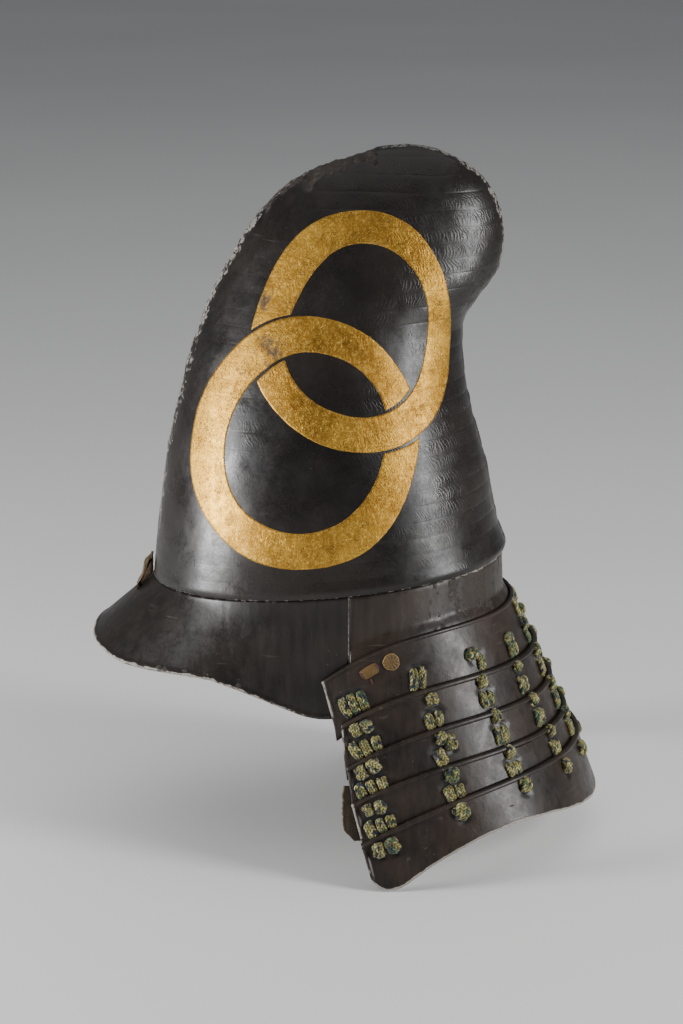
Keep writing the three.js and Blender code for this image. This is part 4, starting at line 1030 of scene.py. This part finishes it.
# ------------------------------------------------------------------ lames
def make_lame(k, holes):
    last = k == 4
    back, deep, half, level, drop, power, lip, y_top, y_low = RIDGE[k]
    end_top = turn_of_y(back, deep, y_top)
    plan = (HEM_BACK, HEM_DEEP) if last else RIDGE[k + 1][:2]
    end_low = turn_of_y(plan[0], plan[1], y_low)
    sections = 200
    u = np.linspace(-1, 1, sections)
    edge = np.array([0.9985, 0.995, 0.9915, 0.988, 0.9845, 0.981])
    u = np.sort(np.concatenate([u, edge, -edge]))
    (tp, tn), (lp, ln) = lame_face(k, u * end_top)
    height = np.linalg.norm(tp - lp, axis=-1)
    lip_mm = LIP_HIGH * (0.62 if k == 0 else 0.92)
    near = np.array([0, 0.25, 0.6, 1.0, 1.45, 1.9, 2.3, 2.65, 2.95, 3.2, 3.5, 4.0]) / 3.2 * lip_mm
    body = np.linspace(0.19, 0.965 if not last else 0.955, 26)
    tail = [] if not last else [0.972, 0.984, 0.993, 1.0]
    rows = len(near) + len(body) + len(tail)
    V = np.empty((len(u), rows))
    V[:, :len(near)] = near[None] / height[:, None]
    V[:, len(near):len(near) + len(body)] = body[None]
    if last:
        V[:, len(near) + len(body):] = np.array(tail)[None]
    U = np.repeat(u[:, None], rows, 1)
    turn = U * (end_top + (end_low - end_top) * np.clip(V, 0, 1))
    # ragged hem on the last lame
    if last:
        at = np.stack([turn * 2.4, turn * 0, turn * 0], -1)
        bite = np.maximum(0, fbm(at, 7, 91) - 0.05) * 1.3 + 0.25 * noise(at, 2.6, 92)
        V = V - np.clip(bite, -0.1, 2) / height[:, None] * step(0.93, 1.0, V)
    p = lame_point(k, turn, V)
    _, n = ridge_point(k, turn)
    d = V * height[:, None]
    t = np.clip((d - 0.42 * lip_mm) / (0.60 * lip_mm), -1, 1)
    bead = lip * np.sqrt(np.maximum(0, 1 - t * t)) ** 0.9
    arc = (end_top * math.pi / 180) * (half + deep) / 2
    from_end = (1 - np.abs(U)) * arc
    e = np.clip((from_end - 1.25) / 1.45, -1, 1)
    rim = lip * 0.55 * np.sqrt(np.maximum(0, 1 - e * e)) * np.clip((0.93 - V) / 0.3, 0, 1)
    relief = 0.09 * noise(p, 30, 93 + k) + 0.03 * noise(p, 7, 97 + k) + 0.05 * noise(p, (2.2, 2.2, 24), 99)
    relief = relief * step(lip_mm, lip_mm + 3, d) * step(1.5, 5, from_end)
    ripple = 0.10 * noise(np.stack([turn * 2, turn * 0, turn * 0], -1), 6, 101 + k) * (d < lip_mm)
    lift = np.maximum(np.maximum(bead, rim), 0) + relief + ripple
    # the faces sink a little round the lace holes, and their colour is darkened there as painted shade
    hole_shade_and_red_mark = np.zeros_like(d)
    for hp, r in holes:
        q = np.linalg.norm(p - hp, axis=-1)
        hole_shade_and_red_mark = np.maximum(hole_shade_and_red_mark, step(r + 0.8, r - 0.2, q))
    lift = lift - 0.7 * hole_shade_and_red_mark
    if last:
        lift = lift - np.where(V > 0.9985, 0.55, np.where(V > 0.99, 0.2, 0.0))
    lift = lift - 0.35 * (np.abs(U) > 0.9999)
    outer = p + n * lift[..., None]
    inner = p - n * PLATE
    if last:
        inner = inner + n * (np.where(V > 0.9985, 0.5, 0.0))[..., None]
    inner = inner + n * (0.35 * (np.abs(U) > 0.9999))[..., None]
    if not last:
        t2 = u * end_low
        (np_, nn), (nl, _) = lame_face(k + 1, t2)
        span = np.linalg.norm(nl - np_, axis=-1)
        f = (OVERLAP / span)[:, None]
        more = 0.0 if k + 1 == 4 else NEST
        foot = np_ + (nl - np_) * f - nn * NEST - nn * (more * f)
        shade = 1 - 0.35 * (np.abs(u) > 0.9999)
        mid = (outer[:, -1] + foot) / 2
        outer = np.concatenate([outer, mid[:, None], foot[:, None]], 1)
        inner = np.concatenate([inner, (mid - nn * PLATE)[:, None], (foot - nn * PLATE)[:, None]], 1)
        pad = np.zeros((len(u), 2))
        d = np.concatenate([d, pad + 99], 1)
        hole_shade_and_red_mark = np.concatenate([hole_shade_and_red_mark, pad], 1)
        from_end = np.concatenate([from_end, from_end[:, -2:]], 1)
        lift = np.concatenate([lift, pad], 1)
        V = np.concatenate([V, pad + 1.1], 1)
    jag = noise(outer, (6, 6, 3), 111)
    wear_and_highlight = step(0.62, 0.98, lift / max(lip, 1e-6)) * step(lip_mm + 0.4, lip_mm - 0.4, d) * (0.36 + 0.20 * jag)
    wear_and_highlight = np.maximum(wear_and_highlight, step(2.2, 1.0, from_end) * ((0.72 if k in (0, 3) else 0.52) + 0.3 * jag) * (V < 0.93))
    if last:
        # painted highlight: a pale line along the last lame's lower edge
        below = (1 - V) * height[:, None]
        wear_and_highlight = np.maximum(wear_and_highlight, step(3.0, 1.3, below + 0.6 * jag) * 0.9)
    chip = step(0.42, 0.62, fbm(outer, (10, 10, 5), 121 + k)) * 0.5
    points, faces, attrs = loft(outer, inner, {"wear_and_highlight": np.clip(wear_and_highlight, 0, 1), "hole_shade_and_red_mark": hole_shade_and_red_mark, "chip": chip})
    points[:, 2] = np.maximum(points[:, 2], LOWEST)
    return make_object(f"lame_{k + 1}", points, faces, GUARD_MAT, attrs, (f"neck_lame_{k + 1}",))


# ------------------------------------------------------------------ lacing
TINTS = np.array([
    [0.52, 0.46, 0.150],       # straw yellow
    [0.68, 0.63, 0.300],       # pale cream
    [0.27, 0.245, 0.070],      # olive
    [0.16, 0.26, 0.12],        # green
    [0.045, 0.105, 0.065],     # deep green
    [0.022, 0.030, 0.085],     # navy
    [0.50, 0.31, 0.12],        # faded orange
])


def stitch_tints(rng, count, green):
    """Colours of a run of stitches: straw and cream, broken by single green, olive and navy ones."""
    weights = np.array([0.36, 0.26, 0.13, 0.08, 0.04, 0.12, 0.01])
    if green:
        weights = np.array([0.18, 0.10, 0.16, 0.28, 0.16, 0.10, 0.02])
    weights = weights / weights.sum()
    picks = rng.choice(len(TINTS), size=count, p=weights)
    return TINTS[picks] * rng.uniform(0.34, 0.94, (count, 1))


def strand(rng, origin, side, down, out, wide, high, lean, arch, dip_top, dip_low, lift, round_, green=False, pitch=2.15):
    """One flat braided strand: closed, with four chevron columns of stitches."""
    rows, cols = max(20, int(high / 0.40)), 18
    a = math.radians(lean)
    across = side * math.cos(a) + down * math.sin(a)
    along_ = down * math.cos(a) - side * math.sin(a)
    t = np.linspace(-0.5, 0.5, rows)[:, None]
    w = np.linspace(-1, 1, cols)[None, :]
    T = np.broadcast_to(t, (rows, cols))
    W = np.broadcast_to(w, (rows, cols))
    # slight wander and change of width along the strand
    wander = 0.28 * math.sin(rng.uniform(0, 6)) * np.sin(T * 5 + rng.uniform(0, 6))
    half = wide / 2 * (1 - round_ * (2 * np.abs(T)) ** 4) * (1 + 0.05 * np.sin(T * 9 + rng.uniform(0, 6)))
    across_mm = W * half + wander
    along_mm = T * high + 0.25 * np.sin(W * 3 + rng.uniform(0, 6))
    # flat top with rolled edges
    body = 1.7 * np.maximum(0, 1 - np.abs(W) ** 3.2) ** 0.55
    column = np.abs(W) * 2
    inner = np.abs(column - np.floor(np.minimum(column, 1.999)) - 0.5) * 2
    phase = along_mm / pitch + np.where(column < 1, 0.9 * (column % 1), -0.9 * (column % 1)) + np.where(column < 1, 0, 0.9)
    across_mm = across_mm + np.sign(W) * np.abs(W) ** 6 * 0.38 * np.abs(np.sin(math.pi * phase))
    bump = np.abs(np.sin(math.pi * phase)) ** 0.7
    relief = 0.72 * bump * (1 - 0.75 * inner ** 4) - 0.34 * inner ** 3
    arch_mm = arch * (1 - (2 * np.abs(T)) ** 2.2)
    ends = dip_top * step(0.30, 0.5, -T) + dip_low * step(0.30, 0.5, T)
    height = lift + body + arch_mm + relief * np.maximum(0, 1 - np.abs(W) ** 6) - ends
    top = origin + across * across_mm[..., None] + along_ * along_mm[..., None] + out * height[..., None]
    height = np.maximum(height, -0.95)
    back = np.maximum(lift - 0.5 - ends * 0.9, -1.35)
    low = origin + across * (across_mm * 0.86)[..., None] + along_ * along_mm[..., None] + out * back[..., None]
    count = int(high / pitch) + 8
    tints = np.stack([stitch_tints(rng, count * 2, green) for _ in range(4)])
    lane = (np.where(W < -0.5, 0, np.where(W < 0, 1, np.where(W < 0.5, 2, 3)))).astype(int)
    index = np.clip(np.floor(phase).astype(int) + count // 2, 0, count * 2 - 1)
    tint_and_shade = tints[lane, index]
    # painted shade: each stitch's colour darkens into the gaps between stitches, towards its column's edges and at the
    # strand's edges
    deep = (0.10 + 0.90 * np.clip(bump * 1.5 - 0.42, 0, 1))[..., None] * (1 - 0.75 * inner ** 3)[..., None]
    tint_and_shade = tint_and_shade * deep * (1 - 0.45 * np.abs(W) ** 8)[..., None]
    pts, faces, _ = loft(top, low)
    # painted shade: the strand's underside takes half the mean stitch colour
    inside = np.repeat(tint_and_shade.mean((0, 1))[None, None] * 0.5, rows, 0).repeat(cols, 1)
    col = np.concatenate([tint_and_shade, inside[:, ::-1]], axis=1).reshape(-1, 3)
    return pts, faces, col


def make_laces():
    rng = np.random.RandomState(23)
    groups = {}
    holes = {k: [] for k in range(5)}
    for name, lame, kind, turn, v, wide, high, lean in all_laces():
        o, side, down, out = lace_frame(lame, turn, v)
        green = (lame == 0 and kind == "k") or rng.rand() < 0.16
        parts = groups.setdefault(name, [])
        if kind == "s":
            half = min(high / 2, 20)
            parts.append(strand(rng, o, side, down, out, wide, high, lean, 0.25, 1.9, 1.1, 0.15, 0.25, green))
            a = math.radians(lean)
            head = o - (down * math.cos(a) - side * math.sin(a)) * (high / 2 - 0.2)
            holes[lame].append((head, wide * 0.46))
        elif abs(lean) > 45:
            # a tuft lying across the others
            parts.append(strand(rng, o, side, down, out, high, wide, lean, 1.0, 1.2, 1.2, 0.5, 0.5, True))
            holes[lame].append((o + down * high * 0.62, wide * 0.22))
        else:
            # two crossing turns of the lace, one over the other
            tilt = 30 + rng.uniform(-6, 6)
            way = 1 if rng.rand() < 0.5 else -1
            parts.append(strand(rng, o, side, down, out, wide * 0.78, high * 1.05, lean + way * tilt, 0.5, 1.1, 1.1, 0.1, 0.45, green))
            parts.append(strand(rng, o, side, down, out, wide * 0.78, high * 1.05, lean - way * tilt, 1.2, 1.6, 1.6, 1.0, 0.45, green))
            holes[lame].append((o + down * high * 0.50, wide * 0.30))
    pieces = []
    for name in sorted(groups):
        points, faces, colors, at = [], [], [], 0
        for p, f, c in groups[name]:
            points.append(p)
            faces.append(f + at)
            colors.append(c)
            at += len(p)
        pieces.append(make_object(name.replace("lacing", "lace_column"), np.concatenate(points), np.concatenate(faces),
                                  LACE_MAT, {"tint_and_shade": np.concatenate(colors)}, (name,)))
    return pieces, holes


# ------------------------------------------------------------------ pads
def face_place(k, y, v, side):
    """A place on lame k's face at a depth y, with its directions; side is 1 or -1."""
    back, deep = RIDGE[k][:2]
    turn = float(turn_of_y(back, deep, y))
    for _ in range(8):
        q = lame_point(k, np.array(turn), np.array(v))
        turn += (q[1] - y) / (deep * math.pi / 180 * max(0.3, math.sin(math.radians(turn))))
    o, sd, dn, out = lace_frame(k, turn * side, v)
    forward = sd if sd[1] < 0 else -sd
    return o, forward, dn, out


def pad_mesh(o, fwd, dn, out, long, high, tilt, round_, dome, ribs, seed):
    """A pad with a soft rounded outline; the polar grid runs from the middle to the edge and under."""
    around, rings = 96, 20
    a = np.arange(around) / around * 2 * math.pi
    ca, sa = np.cos(a), np.sin(a)
    e = 2.0 / round_
    ox = long / 2 * spow(ca, e)
    oy = high / 2 * spow(sa, e)
    wob = 1 + 0.025 * np.sin(3 * a + seed) + 0.02 * np.sin(7 * a + 2 * seed)
    t = math.radians(tilt)
    fw = fwd * math.cos(t) - dn * math.sin(t)
    dw = dn * math.cos(t) + fwd * math.sin(t)
    r = np.concatenate([np.linspace(0.04, 0.86, rings), [0.90, 0.94, 0.97, 0.99, 1.0, 1.0]])
    lift = 0.45 + dome * np.sqrt(np.maximum(0, 1 - np.clip(r, 0, 1) ** 3.2))
    lift[-1] = -0.35
    R = r[:, None]
    P = o + fw * (ox * wob * R)[..., None] + dw * (oy * wob * R)[..., None]
    h = np.repeat(lift[:, None], around, 1)
    if ribs:
        rib = np.sin(a * ribs)[None]
        h = h + 0.26 * rib * step(0.30, 0.6, R) * (1 - step(0.84, 0.95, R)) - 0.18 * np.exp(-((R - 0.86) / 0.05) ** 2) + 0.10 * np.exp(-((R - 0.95) / 0.05) ** 2)
    h = h + 0.06 * noise(P, 1.6, seed) * (R < 0.98)
    P = P + out * h[..., None]
    n = len(r)
    points = np.concatenate([P.reshape(-1, 3), (o + out * (0.45 + dome))[None], (o - out * 0.35)[None]])
    mid, low = n * around, n * around + 1
    i, j = np.meshgrid(np.arange(n - 1), np.arange(around), indexing="ij")
    k = (j + 1) % around
    faces = [np.stack([i * around + j, (i + 1) * around + j, (i + 1) * around + k, i * around + k], -1).reshape(-1, 4)]
    j = np.arange(around)
    k = (j + 1) % around
    faces.append(np.stack([j, k, np.full(around, mid), np.full(around, mid)], -1))
    last = (n - 1) * around
    faces.append(np.stack([last + k, last + j, np.full(around, low), np.full(around, low)], -1))
    wear_and_highlight = np.repeat(step(0.80, 0.95, r)[:, None], around, 1) * (0.8 if ribs else 0.35)
    rr = np.repeat(r[:, None], around, 1)
    if ribs:
        red = 0.45 * step(0.22, 0.08, rr) + 0.8 * step(0.975, 0.995, rr) + 0.35 * np.exp(-((rr - 0.86) / 0.03) ** 2)
    else:
        red = np.maximum(np.repeat(step(0.80, 0.92, np.abs(np.cos(a)))[None], n, 0) * step(0.70, 0.84, rr), 0.8 * step(0.93, 0.98, rr))
    attrs = {"wear_and_highlight": np.concatenate([wear_and_highlight.ravel(), [0, 0]]), "hole_shade_and_red_mark": np.concatenate([red.ravel(), [0, 0]])}
    return points, np.concatenate(faces), attrs


def make_pads():
    for side, word in ((1, "left"), (-1, "right")):
        o, fwd, dn, out = face_place(0, 27.3, 0.31, side)
        p, f, a = pad_mesh(o, fwd, dn, out, 13.2, 7.6, -6, 3.3, 1.30, 0, 3)
        q, g, b = pad_mesh(o + dn * 6.6 + fwd * 1.6, fwd, dn, out, 1.3, 4.6, 4, 2.4, 0.15, 0, 5)
        b["hole_shade_and_red_mark"] = b["hole_shade_and_red_mark"] * 0 + 0.8
        p2 = np.concatenate([p, q])
        f2 = np.concatenate([f, g + len(p)])
        attrs = {key: np.concatenate([a[key], b[key]]) for key in a}
        make_object(f"bar_cushion_{word}", p2, f2, PAD_MAT, attrs, (f"bar_pad_{word}",))
        o, fwd, dn, out = face_place(0, 41.2, 0.305, side)
        p, f, a = pad_mesh(o, fwd, dn, out, 11.2, 11.2, 0, 2.0, 1.35, 11, 8)
        make_object(f"round_cushion_{word}", p, f, PAD_MAT, a, (f"round_pad_{word}",))


# ------------------------------------------------------------------ leather strips
def make_strip(side, word):
    keys = np.array([[-122, 116.2, 10, 31], [-134, 117.6, 9, 32], [-151, 120.4, 10, 34], [-158, 121.8, 17, 35]], float)
    rows, cols = 60, 44
    q = np.linspace(0, 3, rows)
    i = np.minimum(np.floor(q).astype(int), 2)
    t = (q - i)[:, None]
    k = keys[i] * (1 - t) + keys[i + 1] * t
    w = np.linspace(0, 1, cols)[None]
    z = np.repeat(k[:, :1], cols, 1)
    at = np.stack([z * 0 + side * 5, z * 0, z], -1)
    ragged = (0.9 * noise(at, 5, 131) + 0.45 * noise(at, 1.8, 132)) * (1 - w) ** 4
    y = k[:, 2:3] * (1 - w) + k[:, 3:4] * w + np.maximum(ragged, -0.2)
    low = np.stack([y, y * 0, y * 0 + side], -1)
    z = z + np.where(q[:, None] > 2.6, 1.0, 0.0) * np.maximum(0, 0.7 * noise(low, 4, 133) + 0.5 * noise(low, 1.7, 134)) * step(2.6, 3.0, q)[:, None]
    at = np.stack([y, y * 0 + side * 3, z], -1)
    x = k[:, 1:2] + 0.30 * noise(at, 9, 135) + 0.14 * noise(at, 3, 136) - 0.35
    edge = np.minimum(w * 26, (1 - w) * 26)
    x = x - 0.5 * (edge < 0.01)
    outer = np.stack([x * side, y, z], -1)
    inner = np.stack([(x - 1.5) * side, y + 0.35 * (w < 0.01), z], -1)
    wear_and_highlight = step(1.5, 0.3, edge + 0.35 * noise(at, 2.2, 137)) * np.ones_like(z)
    points, faces, attrs = loft(outer, inner, {"wear_and_highlight": np.maximum(wear_and_highlight, step(2.85, 2.98, q)[:, None] * 0.8)})
    return make_object(f"backing_{word}", points, faces, LEATHER_MAT, attrs, (f"leather_strip_{word}",))


# ------------------------------------------------------------------ crest socket
def make_socket():
    outline = np.array([[-119.8, 4.2], [-122.5, 1.4], [-125.9, -1.8], [-126.6, -6.0], [-127.8, -11.2], [-130.6, -16.0],
                        [-131.6, -20.9], [-119.8, -9.4]])
    closed = np.concatenate([outline, outline[:1]])
    d = np.concatenate([[0], np.cumsum(np.linalg.norm(np.diff(closed, axis=0), axis=1))])
    t = np.linspace(0, d[-1], 161)[:-1]
    path = np.stack([np.interp(t, d, closed[:, 0]), np.interp(t, d, closed[:, 1])], -1)
    for _ in range(5):
        path = (np.roll(path, 1, 0) + 2 * path + np.roll(path, -1, 0)) / 4
    mid = path.mean(0)
    across = np.concatenate([[-6.0, -5.93, -5.72, -5.35, -4.9], np.linspace(-4.3, 4.3, 26), [4.9, 5.35, 5.72, 5.93, 6.0]])
    inset = np.array([1.3, 0.9, 0.5, 0.2, 0.05] + [0.0] * 26 + [0.05, 0.2, 0.5, 0.9, 1.3])
    tang = unit(np.roll(path, -1, 0) - np.roll(path, 1, 0))
    nrm = np.stack([tang[:, 1], -tang[:, 0]], -1)
    if ((path - mid) * nrm).sum() < 0:
        nrm = -nrm
    points = []
    wear_and_highlight = []
    for x, c in zip(across, inset):
        q = path - nrm * c
        at = np.stack([np.full(len(q), x), q[:, 0], q[:, 1]], -1)
        rough = 0.14 * noise(at, 4, 141) + 0.06 * noise(at, 1.5, 142)
        groove = -0.35 * math.exp(-((abs(x) - 2.6) / 0.35) ** 2)
        q = q + nrm * (rough + groove - 0.12)[:, None]
        points.append(np.stack([np.full(len(q), x), q[:, 0], q[:, 1]], -1))
        wear_and_highlight.append(np.clip(0.2 + 0.5 * noise(at, 3, 143), 0, 1))
    m = len(path)
    grid = np.stack(points)
    s = len(across)
    pts = np.concatenate([grid.reshape(-1, 3), grid[0].mean(0)[None], grid[-1].mean(0)[None]])
    i, j = np.meshgrid(np.arange(s - 1), np.arange(m), indexing="ij")
    k = (j + 1) % m
    faces = [np.stack([i * m + j, i * m + k, (i + 1) * m + k, (i + 1) * m + j], -1).reshape(-1, 4)]
    j = np.arange(m)
    k = (j + 1) % m
    faces.append(np.stack([k, j, np.full(m, s * m), np.full(m, s * m)], -1))
    last = (s - 1) * m
    faces.append(np.stack([last + j, last + k, np.full(m, s * m + 1), np.full(m, s * m + 1)], -1))
    w = np.concatenate([np.stack(wear_and_highlight).ravel(), [0, 0]])
    return make_object("crest_wedge", pts, np.concatenate(faces), SOCKET_MAT, {"wear_and_highlight": w}, ("crest_socket",))


SOCKET_MAT = gold_material("worn_gilt", False, 0.86)

make_bowl()
for side, word in ((1, "left"), (-1, "right")):
    # the upper band passes under near its upper front, the lower one under near the back
    make_ring(f"upper_ring_{word}", UPPER, LOWER, 187.0, side)
    make_ring(f"lower_ring_{word}", LOWER, UPPER, 25.0, side)
make_visor()
make_band()
_, HOLES = make_laces()
for number in range(5):
    make_lame(number, HOLES[number])
make_pads()
make_strip(1, "left")
make_strip(-1, "right")
make_socket()


# ------------------------------------------------------------------ studio
def make_floor():
    s = Shade("studio_floor")
    tone = s.mix(s.fit(s.noise(1.2, 3, 0.5), 0.3, 0.7), (0.78, 0.78, 0.77), (0.82, 0.82, 0.81))
    s.set(Base_Color=tone, Roughness=0.75, Specular_IOR_Level=0.2)
    n = 40
    g = np.linspace(-18, 18, n + 1)
    X, Y = np.meshgrid(g, g)
    pts = np.stack([X, Y, np.full_like(X, -0.1866)], -1).reshape(-1, 3)
    i, j = np.meshgrid(np.arange(n), np.arange(n), indexing="ij")
    f = np.stack([i * (n + 1) + j, i * (n + 1) + j + 1, (i + 1) * (n + 1) + j + 1, (i + 1) * (n + 1) + j], -1).reshape(-1, 4)
    mesh = bpy.data.meshes.new("studio_floor")
    mesh.from_pydata(pts.tolist(), [], f.tolist())
    mesh.materials.append(s.m)
    mesh.update()
    obj = bpy.data.objects.new("studio_floor", mesh)
    bpy.context.scene.collection.objects.link(obj)
    return obj


make_floor()

world = bpy.data.worlds.new("studio_air")
bpy.context.scene.world = world
world.use_nodes = True
background = world.node_tree.nodes.get("Background") or world.node_tree.nodes.new("ShaderNodeBackground")
background.inputs[0].default_value = (0.80, 0.82, 0.85, 1)
background.inputs[1].default_value = 0.22


def soft_light(name, place, target, wide, high, power, color=(1, 1, 1)):
    data = bpy.data.lights.new(name, "AREA")
    data.shape = "RECTANGLE"
    data.size, data.size_y = wide, high
    data.energy = power
    data.color = color
    obj = bpy.data.objects.new(name, data)
    obj.location = place
    direction = np.array(target, float) - np.array(place, float)
    yaw = math.atan2(direction[1], direction[0])
    pitch = math.atan2(direction[2], math.hypot(direction[0], direction[1]))
    obj.rotation_euler = (math.pi / 2 + pitch, 0, yaw - math.pi / 2)
    obj.visible_camera = False
    bpy.context.scene.collection.objects.link(obj)
    return obj


soft_light("front_strip", (0.48, -1.50, 0.14), (0.0, -0.05, 0.05), 0.5, 0.55, 42)
soft_light("rear_strip", (0.70, 1.50, 0.42), (0.0, 0.05, 0.08), 0.42, 1.10, 31)
soft_light("top_soft", (0.0, 0.0, 3.4), (0.0, 0.0, 0.0), 4.5, 4.5, 46)

camera_data = bpy.data.cameras.new("photo_view")
camera_data.lens = 93.06
camera_data.sensor_width = 36
camera_data.sensor_fit = "AUTO"
camera = bpy.data.objects.new("photo_view", camera_data)
camera.location = (1.7387, 0.009, 0.4984)
direction = np.array([0.0, 0.009, 0.0325]) - np.array(camera.location)
pitch = math.atan2(direction[2], math.hypot(direction[0], direction[1]))
camera.rotation_euler = (math.pi / 2 + pitch, 0, math.pi / 2)
bpy.context.scene.collection.objects.link(camera)
bpy.context.scene.camera = camera
